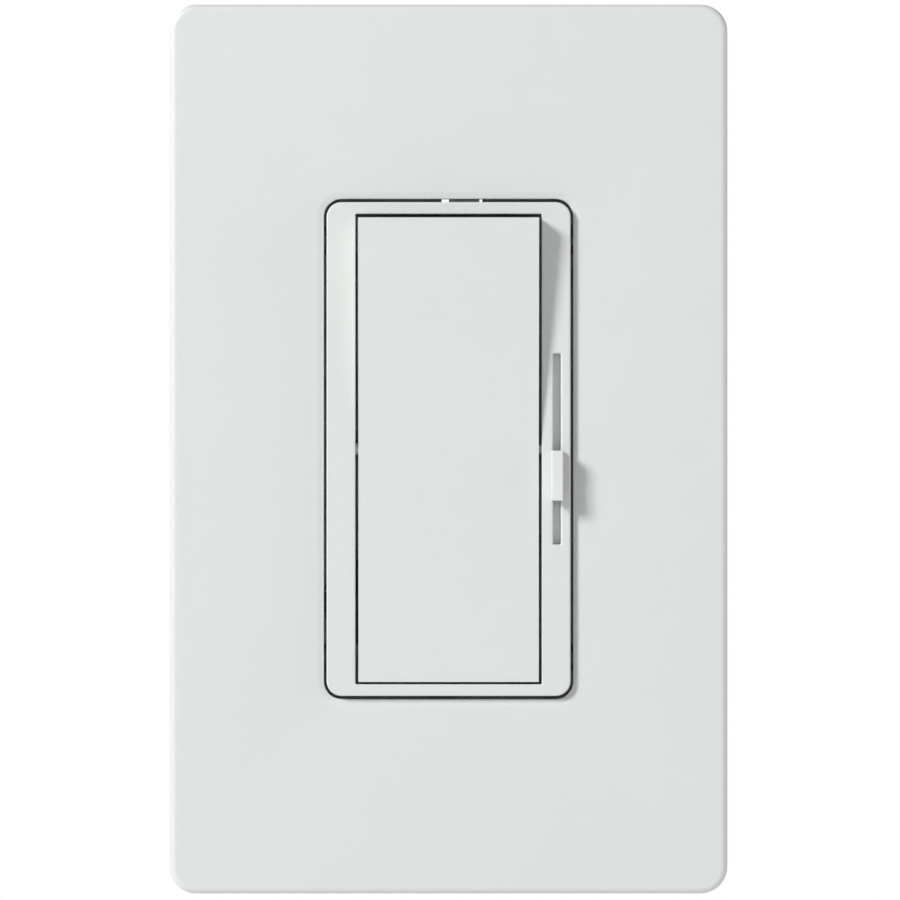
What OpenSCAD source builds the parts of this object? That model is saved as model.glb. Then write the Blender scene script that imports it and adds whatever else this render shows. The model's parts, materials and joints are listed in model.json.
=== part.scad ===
// Slide dimmer with a rocker paddle and a screwless wallplate.
// The wall plane is y = 0, the front faces -Y and +Z is up. The origin lies on the
// wall plane, midway between the two screws that hold the dimmer in its wall box.

/* [Wallplate] */
// Width of the wallplate
plate_w = 74.7; // [72:0.1:92]
// Height of the wallplate
plate_h = 119.1; // [116:0.1:146]
// How far the wallplate stands off the wall
plate_depth = 7.6; // [7.2:0.1:10]
// Corner radius of the wallplate, seen from the front
plate_corner_r = 3.6; // [2.6:0.1:8]
// Rounding of the wallplate's front edge
plate_edge_r = 0.9; // [0.5:0.1:2]
// Wall thickness of the wallplate
plate_wall = 2; // [1.4:0.1:2.4]
// Radius of the pegs that hold the wallplate on its adapter
peg_r = 1.6; // [1.2:0.1:2.2]
// Thickness of the adapter's plate
adapter_t = 2; // [1.4:0.1:2.4]
// Gap between the adapter's edge and the inside of the wallplate
adapter_clearance = 1.2; // [0.6:0.1:2]
// Gap between the bezel and the adapter's opening
adapter_gap = 1.6; // [1.2:0.1:3]

/* [Bezel] */
// Width of the bezel
bezel_w = 32.6; // [30:0.1:40]
// Height of the bezel
bezel_h = 66; // [64.5:0.1:68]
// Corner radius of the bezel, seen from the front
bezel_corner_r = 2; // [1:0.1:4]
// Rounding of the bezel's front edge
bezel_edge_r = 0.2; // [0.2:0.05:0.8]
// How far the bezel's face stands in front of the wallplate
bezel_proud = 1; // [0.4:0.1:2]
// Thickness of the bezel's outer wall
bezel_wall = 0.9; // [0.8:0.1:1.4]
// Thickness of the bezel's face
bezel_face_t = 1.2; // [0.8:0.1:1.6]
// Width of the strip on each side of the paddle
strip_w = 3.85; // [3.7:0.05:5]
// Gap between bezel and wallplate at the sides
bezel_gap_side = 0.4; // [0.2:0.05:1]
// Gap between bezel and wallplate at the ends
bezel_gap_end = 0.5; // [0.2:0.05:1]

/* [Paddle] */
// Gap between paddle and bezel at the sides
paddle_gap_side = 0.4; // [0.2:0.05:0.6]
// Gap between paddle and bezel at the ends
paddle_gap_end = 0.45; // [0.35:0.05:0.8]
// Width of the bezel's wall at the ends of the paddle
end_w = 1.55; // [1.4:0.05:3]
// Angle through which the paddle rocks
rock_angle = 5.55; // [4:0.05:6]
// Depth of the rocking axis behind the bezel's face
pivot_depth = 1.6; // [1.4:0.1:2]
// How far the pressed half stands in front of the bezel's face
paddle_proud = 0.2; // [0:0.1:0.6]
// Wall thickness of the paddle
paddle_wall = 1.5; // [1:0.1:2]
// Radius of the paddle's two pivot bosses
boss_r = 0.8; // [0.6:0.05:1]
// Radial clearance of turning and sliding fits
fit_clearance = 0.06; // [0.03:0.01:0.1]

/* [Slider] */
// Travel of the slider
slider_travel = 18.8; // [14:0.1:19]
// Height of the slider above mid travel as drawn
slider_rest = -3.55; // [-7:0.05:7]
// Width of the slot in the bezel
slot_w = 1; // [0.9:0.05:1.4]
// Width of the slide knob
knob_w = 1.6; // [1.2:0.1:2.2]
// Height of the slide knob
knob_h = 6.7; // [5:0.1:8]
// How far the slide knob stands in front of the bezel
knob_proud = 2.4; // [1.5:0.1:4]

/* [Trim dial] */
// Radius of the trim dial
dial_r = 6; // [5:0.1:7]
// Thickness of the trim dial
dial_t = 2; // [1.4:0.1:2.2]
// How far the dial's rim stands out of the bezel's side
dial_proud = 0.64; // [0.3:0.02:0.9]
// Height of the dial's axis
dial_z = -20.6; // [-22:0.1:-18]
// Height of the window in the bezel's side
dial_window_h = 14.3; // [13:0.1:16]
// Number of grip notches round the trim dial
dial_notches = 24; // [12:1:36]

/* [Yoke] */
// Thickness of the yoke
yoke_t = 1.5; // [1.2:0.1:1.8]
// Width of the yoke's strap
strap_w = 44.5; // [42:0.1:46]
// Spacing of the two screws into the wall box
box_screw_spacing = 83.34; // [83.34]
// Spacing of the two screws that hold the wallplate adapter
plate_screw_spacing = 96.84; // [96.84]
// Distance from the adapter's screws to the ends of the yoke
yoke_end = 4.08; // [3.5:0.01:5]
// Height of the heat sink fins
fin_h = 68; // [60:0.5:70]
// Distance from the fins to the inside of the wallplate
fin_margin = 3.6; // [2:0.1:8]
// Thread radius of the mounting screws
screw_r = 1.75; // [1.75]
// Length of the mounting screws under the head
screw_length = 25.4; // [19:0.1:32]

/* [Back housing] */
// Room between the slide potentiometer and the side of the back housing
pot_room = 2.5; // [1:0.1:7]
// Height of the back housing
housing_h = 64; // [63.4:0.1:65]
// Depth of the back housing behind the wall plane
housing_depth = 32; // [30:0.1:40]
// Wall thickness of the back housing
housing_wall = 1.8; // [1.4:0.1:2.4]
// Distance from the wall plane to the circuit board
board_y = 6; // [6:0.1:7]
// Thickness of the circuit board
board_t = 1.6; // [1.2:0.1:2]

/* [Hidden] */
$fn = 48;

// Small overshoot that keeps cuts clean
cut = 1;
// Gap left between pieces that don't touch
gap = 0.1;
// Clearance of a screw in its hole
screw_clearance = 0.05;

plate_front = -plate_depth;
bezel_front = plate_front - bezel_proud;
yoke_front = -yoke_t;
inner_w = plate_w - 2 * plate_wall;
inner_h = plate_h - 2 * plate_wall;
adapter_w = inner_w - 2 * adapter_clearance;
adapter_h = inner_h - 2 * adapter_clearance;
adapter_front = yoke_front - adapter_t;
adapter_rim_front = plate_front + plate_wall + 0.3;
adapter_rim_w = 1.2;
peg_x = adapter_w / 2 - 5;
peg_z = adapter_h / 2 - 6;
adapter_head_r = 3.35;
adapter_head_h = 1.6;
adapter_screw_reach = 3.2;
mounting_head_r = 3.3;
mounting_head_h = 2.1;
opening_w = bezel_w + 2 * bezel_gap_side;
opening_h = bezel_h + 2 * bezel_gap_end;
opening_r = bezel_corner_r + bezel_gap_side;

well_w = bezel_w - 2 * strip_w;
well_h = bezel_h - 2 * end_w;
channel_w = 1.8;
channel_x = bezel_w / 2 - bezel_wall - channel_w / 2;
channel_h = bezel_h - 2 * bezel_wall;
rib_out_x = channel_x - channel_w / 2;
slot_h = slider_travel + knob_h;
stake_r = 0.6;
stake_back = -0.2;
stake_x = 8;
stake_z = bezel_h / 2 - end_w / 2;
clip_x = 2.1;
clip_w = 4.1;
clip_t = 0.45;
clip_front = -4.4;
clip_hook = 0.4;
clip_hook_y = 0.8;
clip_foot = 3;
aperture_x = 1.8;
aperture_w = 5.5;
aperture_h = 2;

pivot_y = bezel_front + pivot_depth;
half_rock = rock_angle / 2;
paddle_w = well_w - 2 * paddle_gap_side;
paddle_h = well_h - 2 * paddle_gap_end;
face_reach = pivot_depth + paddle_proud;
crease = -face_reach / cos(half_rock);
paddle_rise = paddle_h / 2 * tan(half_rock);
skirt = 0.8;
boss_x = rib_out_x - gap;
hub_w = 8;
hub_h = 10;
hub_back = 2.5;
stem_r = 2.6;
stem_bore_r = 1.6;
stem_bore_front = 3;
stem_reach = 15;
plunger_r = stem_bore_r - fit_clearance;
plunger_back = 16.7;
plunger_front = 11.2;
plunger_shoulder = stem_reach + 0.3;
plunger_tip_r = 1.1;
plunger_travel = 0.5;
stem_hole_w = 8;
stem_hole_h = 8.8;

knob_x = channel_x;
knob_front = bezel_front - knob_proud;
knob_edge_r = 0.2;
knob_float = 0.1;
shutter_front = bezel_front + bezel_face_t + 0.3;
shutter_t = 0.6;
shutter_w = channel_w - 2 * gap;
shutter_h = slot_h + slider_travel - 0.1;
lever_w = 1;
lever_h = 3;
lever_front = yoke_front - 3.1;
fork_back = yoke_front - 1.9;
fork_t = 1;

dial_x = dial_r - dial_proud - bezel_w / 2;
dial_front = yoke_front - 0.7 - dial_t;
dial_room = 0.6;
dial_shaft_r = 1.5;
dial_shaft_back = board_y - 2;

yoke_h = plate_screw_spacing + 2 * yoke_end;
fin_w = inner_w - 2 * fin_margin;
box_screw_z = box_screw_spacing / 2;
plate_screw_z = plate_screw_spacing / 2;
retainer_t = 0.45;
neck_r = 1.4;
score_x = 13;
score_z = 37;
score_w = 0.6;
score_depth = 0.4;
ground_x = -8;
ground_z = -35.4;
driver_slot = 0.9;

pot_w = 6.4;
pot_front = 0.4;
pot_wall = 0.6;
wiper_front = pot_front + 1;
wiper_w = 4;
wiper_h = 6;
wiper_t = 1.8;
finger_w = 2.4;
finger_h = 1.6;
element_w = 3.6;
element_front = board_y - 1;
lever_clearance = 0.4;
pot_cavity_h = slider_travel + wiper_h + 2 * lever_clearance;
pot_h = pot_cavity_h + 2 * pot_wall;

housing_w = 2 * (knob_x + pot_w / 2 + pot_room + housing_wall);
cavity_w = housing_w - 2 * housing_wall;
cavity_h = housing_h - 2 * housing_wall;
floor_y = housing_depth - housing_wall;
post_r = 2.2;
post_x = cavity_w / 2 - 2;
post_z = cavity_h / 2 - 2;
post_screw_r = 1.25;
housing_head_r = 2.35;
housing_head_h = 1.1;
board_back = board_y + board_t;
board_w = cavity_w - 0.8;
board_h = cavity_h - 1.4;
board_notch = 5;

seesaw_y = board_back + 2.9;
seesaw_t = 0.8;
seesaw_arm = 8.3;
seesaw_w = 4.8;
seesaw_throw = 12;
seesaw_tilt = -seesaw_throw / 2;
contact_z = 6.8;
contact_r = 1.5;
contact_t = 1;
contact_swing = (seesaw_t / 2 + contact_t) * cos(seesaw_throw / 2)
    + (contact_z + contact_r) * sin(seesaw_throw / 2);
strip_y = seesaw_y + 2.7;
strip_t = 0.8;
tray_w = 16;
tray_h = 32;
tray_wall = 1.5;
tray_floor_y = strip_y + strip_t;
traveler_strip_w = 3.2;
pin_r = 0.6;
pin_reach = 3.5;
cradle_w = 4;
cradle_tail_x = -10.3;
cradle_tail_t = 0.8;
tail_w = 2.4;
tail_front = board_y - 0.4;
cutout_w = 11;
cutout_h = 28;

terminal_x = housing_w / 2 - 3.4;
terminal_t = 1;
terminal_w = 8;
terminal_front = board_back + 4.4;
terminal_back = terminal_front + 9.5;
terminal_screw_y = terminal_front + 5;
pocket_front = terminal_front - 0.5;
pocket_back = terminal_back + 0.5;
pocket_w = 10;
pocket_wall = 1.4;
clamp_t = 1;
clamp_x = terminal_x + terminal_t + 0.3;
terminal_head_r = 3.3;
terminal_head_h = 2.2;

triac_x = -7;
triac_z = 13.5;
triac_w = 10;
rivet_r = 1.6;
pad_t = 0.2;
pad_w = triac_w + 0.4;
pad_bottom = -3.8;
pad_top = 12.4;
lead_pitch = 2.54;
lead_w = 0.8;
lead_t = 0.5;
lead_z = 14.15;

part_front = board_back + 0.2;
choke_core_r = 2.6;
choke_w = 21.4;
choke_z = -cavity_h / 2 + 7.2;
choke_y = board_back + 6.6;

// --- Helpers: outlines are drawn flat and pushed along one axis ---

// Outline in X and Z, pushed from y0 to y1
module along_y(y0, y1) {
    translate([0, y1, 0]) rotate([90, 0, 0]) linear_extrude(y1 - y0) children();
}

// Outline in Y and Z, pushed from x0 to x1
module along_x(x0, x1) {
    translate([x0, 0, 0]) rotate([90, 0, 90]) linear_extrude(x1 - x0) children();
}

// Outline in X and Y, pushed from z0 to z1
module along_z(z0, z1) {
    translate([0, 0, z0]) linear_extrude(z1 - z0) children();
}

module block(x, y, z) {
    translate([x[0], y[0], z[0]]) cube([x[1] - x[0], y[1] - y[0], z[1] - z[0]]);
}

module rod_x(r, x0, x1, y, z) {
    translate([x0, y, z]) rotate([0, 90, 0]) cylinder(r = r, h = x1 - x0);
}

module rod_y(r, y0, y1, x, z) {
    translate([x, y1, z]) rotate([90, 0, 0]) cylinder(r = r, h = y1 - y0);
}

module cone_y(r0, r1, y0, y1, x, z) {
    translate([x, y1, z]) rotate([90, 0, 0]) cylinder(r1 = r1, r2 = r0, h = y1 - y0);
}

module rod_z(r, z0, z1, x, y) {
    translate([x, y, z0]) cylinder(r = r, h = z1 - z0);
}

module rounded_rect(w, h, r) {
    square([w - 2 * r, h], center = true);
    square([w, h - 2 * r], center = true);
    for (sx = [-1, 1], sy = [-1, 1]) {
        translate([sx * (w / 2 - r), sy * (h / 2 - r)]) circle(r);
    }
}

// A rectangle from y0 to y1 whose two corners at y0 are rounded
module soft_front(w, y0, y1, r) {
    translate([-w / 2, y0 + r]) square([w, y1 - y0 - r]);
    translate([r - w / 2, y0]) square([w - 2 * r, y1 - y0]);
    for (side = [-1, 1]) translate([side * (w / 2 - r), y0 + r]) circle(r);
}

// A rounded block with softened front edges, between y0 and y1
module soft_block(w, h, y0, y1, corner_r, edge_r) {
    intersection() {
        along_y(y0, y1) rounded_rect(w, h, corner_r);
        along_z(-h / 2, h / 2) soft_front(w, y0, y1, edge_r);
        along_x(-w / 2, w / 2) mirror([1, -1, 0]) soft_front(h, y0, y1, edge_r);
    }
}

// Cross recess for a screwdriver, cut into a head whose front is at y
module cross_recess(size, depth, y, x, z) {
    width = size / 4;
    block([x - size / 2, x + size / 2], [y - cut, y + depth], [z - width / 2, z + width / 2]);
    block([x - width / 2, x + width / 2], [y - cut, y + depth], [z - size / 2, z + size / 2]);
}

// --- Wallplate ---

module wallplate_cover() {
    color("#dddfde") {
        difference() {
            soft_block(plate_w, plate_h, plate_front, 0, plate_corner_r, plate_edge_r);
            along_y(plate_front + plate_wall, cut)
                rounded_rect(inner_w, inner_h, plate_corner_r - plate_wall);
            along_y(plate_front - cut, cut) rounded_rect(opening_w, opening_h, opening_r);
        }
        for (sx = [-1, 1], sz = [-1, 1]) {
            rod_y(peg_r, plate_front + plate_wall - gap, yoke_front - 0.4, sx * peg_x, sz * peg_z);
        }
    }
}

module wallplate_adapter() {
    color("#cfd1d0") difference() {
        along_y(adapter_rim_front, yoke_front) rounded_rect(adapter_w, adapter_h, 2);
        along_y(adapter_rim_front - cut, adapter_front)
            rounded_rect(adapter_w - 2 * adapter_rim_w, adapter_h - 2 * adapter_rim_w, 1);
        along_y(adapter_rim_front - cut, cut)
            rounded_rect(bezel_w + 2 * adapter_gap, bezel_h + 2 * adapter_gap, 2);
        for (sz = [-1, 1]) {
            rod_y(mounting_head_r + 1, adapter_front - cut, cut, 0, sz * box_screw_z);
            rod_y(screw_r + screw_clearance, adapter_front - cut, cut, 0, sz * plate_screw_z);
            cone_y(adapter_head_r + 0.15, screw_r + screw_clearance, adapter_front - gap,
                adapter_front + adapter_head_h + gap, 0, sz * plate_screw_z);
            for (sx = [-1, 1]) {
                rod_y(peg_r + fit_clearance, adapter_front - cut, cut, sx * peg_x, sz * peg_z);
            }
        }
    }
}

module adapter_screws() {
    recess_w = 3.2;
    recess_depth = 1;
    color("#c9c9c4") for (sz = [-1, 1]) {
        difference() {
            union() {
                cone_y(adapter_head_r, screw_r, adapter_front, adapter_front + adapter_head_h,
                    0, sz * plate_screw_z);
                rod_y(screw_r, adapter_front + adapter_head_h - gap, adapter_screw_reach, 0,
                    sz * plate_screw_z);
            }
            cross_recess(recess_w, recess_depth, adapter_front, 0, sz * plate_screw_z);
        }
    }
}

// --- Bezel ---

module bezel() {
    color("#dcdedd") {
        difference() {
            soft_block(bezel_w, bezel_h, bezel_front, yoke_front, bezel_corner_r, bezel_edge_r);
            block([-well_w / 2, well_w / 2], [bezel_front - cut, yoke_front + cut],
                [-well_h / 2, well_h / 2]);
            for (side = [-1, 1]) {
                translate([side * channel_x, 0, 0])
                    block([-channel_w / 2, channel_w / 2],
                        [bezel_front + bezel_face_t, yoke_front + cut],
                        [-channel_h / 2, channel_h / 2]);
            }
            block([channel_x - slot_w / 2, channel_x + slot_w / 2],
                [bezel_front - cut, bezel_front + bezel_face_t + gap],
                [-slot_h / 2, slot_h / 2]);
            rod_x(boss_r + fit_clearance, -channel_x, channel_x, pivot_y, 0);
            block([-bezel_w / 2 - cut, -well_w / 2 + cut], [dial_front - dial_room, yoke_front + cut],
                [dial_z - dial_window_h / 2, dial_z + dial_window_h / 2]);
            block([clip_x - clip_w / 2 - gap, clip_x + clip_w / 2 + gap],
                [clip_front - gap, clip_front + clip_hook_y + gap],
                [bezel_h / 2 - clip_hook - gap, bezel_h / 2 + cut]);
        }
        for (sx = [-1, 1], sz = [-1, 1]) {
            rod_y(stake_r, yoke_front - gap, stake_back, sx * stake_x, sz * stake_z);
        }
    }
}

module bezel_clip() {
    clip_z = bezel_h / 2 + 0.05;
    color("#8d877f") translate([clip_x - clip_w / 2, 0, 0]) {
        block([0, clip_w], [clip_front, clip_t], [clip_z, clip_z + clip_t]);
        block([0, clip_w], [0, clip_t], [clip_z, clip_z + clip_foot]);
        block([0, clip_w], [clip_front, clip_front + clip_hook_y], [clip_z - clip_hook, clip_z + gap]);
    }
}

// --- Paddle, drawn about its axis at mid stroke and then rocked to rest ---

module at_paddle() {
    translate([0, pivot_y, 0]) rotate([half_rock, 0, 0]) children();
}

// Side view of a paddle-shaped block that is set in by t on every side but the back
module paddle_side(t, back) {
    polygon([
        [crease + t, 0], [crease + t - paddle_rise, paddle_h / 2 - t], [back, paddle_h / 2 - t],
        [back, t - paddle_h / 2], [crease + t - paddle_rise, t - paddle_h / 2],
    ]);
}

module paddle() {
    color("#dcdedd") at_paddle() difference() {
        union() {
            difference() {
                along_x(-paddle_w / 2, paddle_w / 2) paddle_side(0, skirt);
                along_x(paddle_wall - paddle_w / 2, paddle_w / 2 - paddle_wall)
                    paddle_side(paddle_wall, skirt + cut);
            }
            block([-hub_w / 2, hub_w / 2], [crease + gap, hub_back], [-hub_h / 2, hub_h / 2]);
            rod_y(stem_r, hub_back - gap, stem_reach, 0, 0);
            for (side = [0, 1]) mirror([side, 0, 0]) rod_x(boss_r, paddle_w / 2 - paddle_wall + gap, boss_x,
                0, 0);
        }
        rod_y(stem_bore_r, stem_bore_front, stem_reach + cut, 0, 0);
    }
}

function coil_point(r, turns, length, f) =
    [r * cos(360 * turns * f), length * f, r * sin(360 * turns * f)];

// A round wire wound along Y: one ring of wire points per step, square to the helix
module coil(r, wire_r, turns, length, steps = 14, sides = 8) {
    rings = turns * steps;
    rise = length / (2 * PI * r * turns);
    lean = atan(rise);
    points = [for (i = [0 : rings], k = [0 : sides - 1])
        let (a = 360 * turns * i / rings, b = 360 * k / sides,
            centre = coil_point(r, turns, length, i / rings))
        centre + wire_r * (cos(b) * [cos(a), 0, sin(a)]
            + sin(b) * [sin(a) * sin(lean), cos(lean), -cos(a) * sin(lean)])];
    walls = [for (i = [0 : rings - 1], k = [0 : sides - 1])
        let (n = (k + 1) % sides)
        [i * sides + k, i * sides + n, (i + 1) * sides + n, (i + 1) * sides + k]];
    start = [for (k = [0 : sides - 1]) sides - 1 - k];
    end = [for (k = [0 : sides - 1]) rings * sides + k];
    polyhedron(points = points, faces = concat(walls, [start], [end]));
}

module plunger_spring() {
    wire_r = 0.18;
    coil_r = 1.25;
    turns = 7;
    end_gap = 0.05;
    color("#b9bcc0") at_paddle() translate([0, stem_bore_front + wire_r + end_gap, 0])
        coil(coil_r, wire_r, turns,
            plunger_front - plunger_travel - stem_bore_front - 2 * (wire_r + end_gap));
}

module detent_plunger() {
    color("#e8e4d8") at_paddle() {
        rod_y(plunger_r, plunger_front, plunger_shoulder, 0, 0);
        cone_y(plunger_r, plunger_tip_r, plunger_shoulder, plunger_back, 0, 0);
    }
}

// --- Slider: knob, shutter and the lever of its potentiometer move together ---

module slider_knob() {
    stem_inset = 1.2;
    stem_h = knob_h - 2 * stem_inset;
    color("#e9ebea") translate([knob_x, 0, slider_rest]) {
        along_y(knob_front, bezel_front - knob_float) rounded_rect(knob_w, knob_h, knob_edge_r);
        block([gap - slot_w / 2, slot_w / 2 - gap], [bezel_front - knob_float - gap, shutter_front],
            [-stem_h / 2, stem_h / 2]);
    }
}

module slider_shutter() {
    color("#eceeed") translate([knob_x, 0, slider_rest]) {
        block([-shutter_w / 2, shutter_w / 2], [shutter_front, shutter_front + shutter_t],
            [-shutter_h / 2, shutter_h / 2]);
        for (side = [-1, 1]) {
            translate([0, 0, side * (lever_h / 2 + gap + fork_t / 2)])
                block([-shutter_w / 2 + gap, shutter_w / 2 - gap],
                    [shutter_front + shutter_t - gap, fork_back], [-fork_t / 2, fork_t / 2]);
        }
    }
}

module slide_pot_lever() {
    color("#3a3a3c") translate([knob_x, 0, slider_rest]) {
        block([-lever_w / 2, lever_w / 2], [lever_front, wiper_front + gap], [-lever_h / 2, lever_h / 2]);
        block([-wiper_w / 2, wiper_w / 2], [wiper_front, wiper_front + wiper_t], [-wiper_h / 2, wiper_h / 2]);
        block([-finger_w / 2, finger_w / 2], [wiper_front + wiper_t - gap, element_front - gap],
            [-finger_h / 2, finger_h / 2]);
    }
}

module slide_pot_body() {
    slot = slider_travel + lever_h + 2 * lever_clearance;
    color("#a9acae") translate([knob_x, 0, 0]) difference() {
        block([-pot_w / 2, pot_w / 2], [pot_front, board_y], [-pot_h / 2, pot_h / 2]);
        block([pot_wall - pot_w / 2, pot_w / 2 - pot_wall], [pot_front + pot_wall, board_y - pot_wall],
            [-pot_cavity_h / 2, pot_cavity_h / 2]);
        block([-lever_w / 2 - lever_clearance, lever_w / 2 + lever_clearance],
            [pot_front - cut, pot_front + pot_wall + gap], [-slot / 2, slot / 2]);
    }
}

module slide_pot_element() {
    color("#4a3b2c") translate([knob_x, 0, 0])
        block([-element_w / 2, element_w / 2], [element_front, board_y - pot_wall],
            [2 * gap - pot_cavity_h / 2, pot_cavity_h / 2 - 2 * gap]);
}

// --- Trim dial and its potentiometer ---

module trim_dial() {
    notch_r = 0.3;
    color("#6f7072") difference() {
        union() {
            rod_y(dial_r, dial_front, dial_front + dial_t, dial_x, dial_z);
            rod_y(dial_shaft_r, dial_front + dial_t - gap, dial_shaft_back, dial_x, dial_z);
        }
        for (i = [0 : dial_notches - 1]) {
            angle = 360 * i / dial_notches;
            rod_y(notch_r, dial_front - cut, dial_front + dial_t + cut,
                dial_x + dial_r * cos(angle), dial_z + dial_r * sin(angle));
        }
    }
}

module trim_pot_body() {
    size = 9;
    front = 1;
    color("#2f5fa8") difference() {
        block([dial_x - size / 2, dial_x + size / 2], [front, board_y],
            [dial_z - size / 2, dial_z + size / 2]);
        rod_y(dial_shaft_r + fit_clearance, front - cut, dial_shaft_back + 0.5, dial_x, dial_z);
    }
}

// --- Yoke and its screws ---

module mounting_slot(z) {
    slot_r = screw_r + 0.25;
    reach = 1.4;
    for (side = [-1, 1]) rod_y(slot_r, yoke_front - cut, cut, side * reach, z);
    block([-reach, reach], [yoke_front - cut, cut], [z - slot_r, z + slot_r]);
}

// Opening for the paddle's stem
module stem_hole(y0, y1) {
    block([-stem_hole_w / 2, stem_hole_w / 2], [y0, y1], [-stem_hole_h / 2, stem_hole_h / 2]);
}

module yoke() {
    lever_slot_h = slider_travel + lever_h + 1;
    ear_w = strap_w / 2 - score_x;
    color("#b4b6b5") difference() {
        along_y(yoke_front, 0) {
            rounded_rect(strap_w, yoke_h, 3);
            rounded_rect(fin_w, fin_h, 1.5);
        }
        for (sz = [-1, 1]) {
            mounting_slot(sz * box_screw_z);
            rod_y(screw_r + screw_clearance, yoke_front - cut, cut, 0, sz * plate_screw_z);
            for (sx = [-1, 1]) {
                rod_y(stake_r + fit_clearance, yoke_front - cut, cut, sx * stake_x, sz * stake_z);
                rod_y(post_screw_r + screw_clearance, yoke_front - cut, cut, sx * post_x, sz * post_z);
                cone_y(housing_head_r + 0.15, post_screw_r, yoke_front - gap,
                    yoke_front + housing_head_h + gap,
                    sx * post_x, sz * post_z);
                translate([sx * (score_x + score_w / 2), 0, 0])
                    block([-score_w / 2, score_w / 2], [-score_depth, cut],
                        [min(sz * score_z, sz * (yoke_h / 2 + cut)),
                            max(sz * score_z, sz * (yoke_h / 2 + cut))]);
                translate([sx * (score_x + ear_w / 2), 0, sz * score_z])
                    block([-ear_w / 2 - cut, ear_w / 2 + cut], [-score_depth, cut],
                        [-score_w / 2, score_w / 2]);
            }
        }
        for (sx = [-1, 1]) {
            translate([sx * (strap_w / 2 + 1), 0, 0])
                block([-score_w / 2, score_w / 2], [yoke_front - cut, yoke_front + score_depth],
                    [-fin_h / 2 - cut, fin_h / 2 + cut]);
        }
        stem_hole(yoke_front - cut, cut);
        translate([knob_x, 0, 0])
            block([-lever_w / 2 - lever_clearance, lever_w / 2 + lever_clearance], [yoke_front - cut, cut],
                [-lever_slot_h / 2, lever_slot_h / 2]);
        rod_y(dial_shaft_r + fit_clearance, yoke_front - cut, cut, dial_x, dial_z);
        rod_y(rivet_r + screw_clearance, yoke_front - cut, cut, triac_x, triac_z);
        rod_y(screw_r + screw_clearance, yoke_front - cut, cut, ground_x, ground_z);
        translate([aperture_x, 0, bezel_h / 2 + aperture_h / 2 - 0.3])
            block([-aperture_w / 2, aperture_w / 2], [yoke_front - cut, cut],
                [-aperture_h / 2, aperture_h / 2]);
    }
}

module mounting_screws() {
    point_h = 1;
    point = yoke_front + screw_length - point_h;
    recess_w = 3.4;
    recess_depth = 1.2;
    color("#c9c9c4") for (sz = [-1, 1]) {
        difference() {
            union() {
                rod_y(mounting_head_r, yoke_front - mounting_head_h, yoke_front, 0, sz * box_screw_z);
                rod_y(neck_r, yoke_front - gap, retainer_t, 0, sz * box_screw_z);
                rod_y(screw_r, retainer_t, point, 0, sz * box_screw_z);
                cone_y(screw_r, 1, point, point + point_h, 0, sz * box_screw_z);
            }
            cross_recess(recess_w, recess_depth, yoke_front - mounting_head_h, 0, sz * box_screw_z);
        }
    }
}

module screw_retainers() {
    retainer_w = 7.6;
    retainer_h = 7.2;
    color("#c8b48a") for (sz = [-1, 1]) {
        difference() {
            translate([0, 0, sz * box_screw_z]) along_y(0, retainer_t) rounded_rect(retainer_w, retainer_h,
                1);
            rod_y(neck_r, -cut, retainer_t + cut, 0, sz * box_screw_z);
        }
    }
}

module ground_screw() {
    head_r = 2.9;
    head_h = 2.2;
    slot_depth = 0.9;
    color("#3d8a4d") difference() {
        union() {
            rod_y(head_r, 0, head_h, ground_x, ground_z);
            rod_y(screw_r, yoke_front, gap, ground_x, ground_z);
        }
        block([ground_x - head_r - cut, ground_x + head_r + cut], [head_h - slot_depth, head_h + cut],
            [ground_z - driver_slot / 2, ground_z + driver_slot / 2]);
    }
}

// --- Back housing ---

// One child at each terminal: right side upper and lower, left side middle
module at_terminals() {
    for (z = [-contact_z, contact_z]) translate([0, 0, z]) children();
    mirror([1, 0, 0]) children();
}

module back_housing() {
    wire_r = 1.2;
    wire_gap = 0.2;
    screw_depth = 14;
    rib_w = 1.4;
    rib_x = cavity_w / 2 - 0.6;
    rib_z = cavity_h / 2 - 9;
    rib_h = 6;
    color("#2b2c2e") difference() {
        union() {
            difference() {
                along_y(0, housing_depth) rounded_rect(housing_w, housing_h, 2);
                along_y(-cut, floor_y) rounded_rect(cavity_w, cavity_h, 1);
            }
            for (sx = [-1, 1], sz = [-1, 1]) {
                rod_y(post_r, 0, floor_y + gap, sx * post_x, sz * post_z);
                translate([sx * rib_x, 0, sz * rib_z])
                    block([-rib_w / 2, rib_w / 2], [board_back, floor_y + gap], [-rib_h / 2, rib_h / 2]);
            }
            at_terminals() block([terminal_x - pocket_wall, housing_w / 2 - gap],
                [pocket_front - pocket_wall, pocket_back + pocket_wall],
                [-pocket_w / 2 - pocket_wall / 2, pocket_w / 2 + pocket_wall / 2]);
        }
        for (sx = [-1, 1], sz = [-1, 1]) {
            rod_y(post_screw_r + screw_clearance, -cut, screw_depth, sx * post_x, sz * post_z);
        }
        at_terminals() {
            block([terminal_x, housing_w / 2 + cut], [pocket_front, pocket_back],
                [-pocket_w / 2, pocket_w / 2]);
            rod_x(screw_r + 0.3, terminal_x - pocket_wall - cut, terminal_x + cut, terminal_screw_y, 0);
            for (side = [-1, 1]) {
                rod_y(wire_r, pocket_back - cut, housing_depth + cut,
                    housing_w / 2, side * (screw_r + wire_r + wire_gap));
            }
        }
        for (z = [-contact_z, contact_z]) {
            block([terminal_x - pocket_wall - cut, terminal_x + cut],
                [strip_y - gap, strip_y + strip_t + gap],
                [z - traveler_strip_w / 2 - gap, z + traveler_strip_w / 2 + gap]);
        }
        line_tail_slot(board_back, pocket_front + cut);
    }
}

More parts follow.
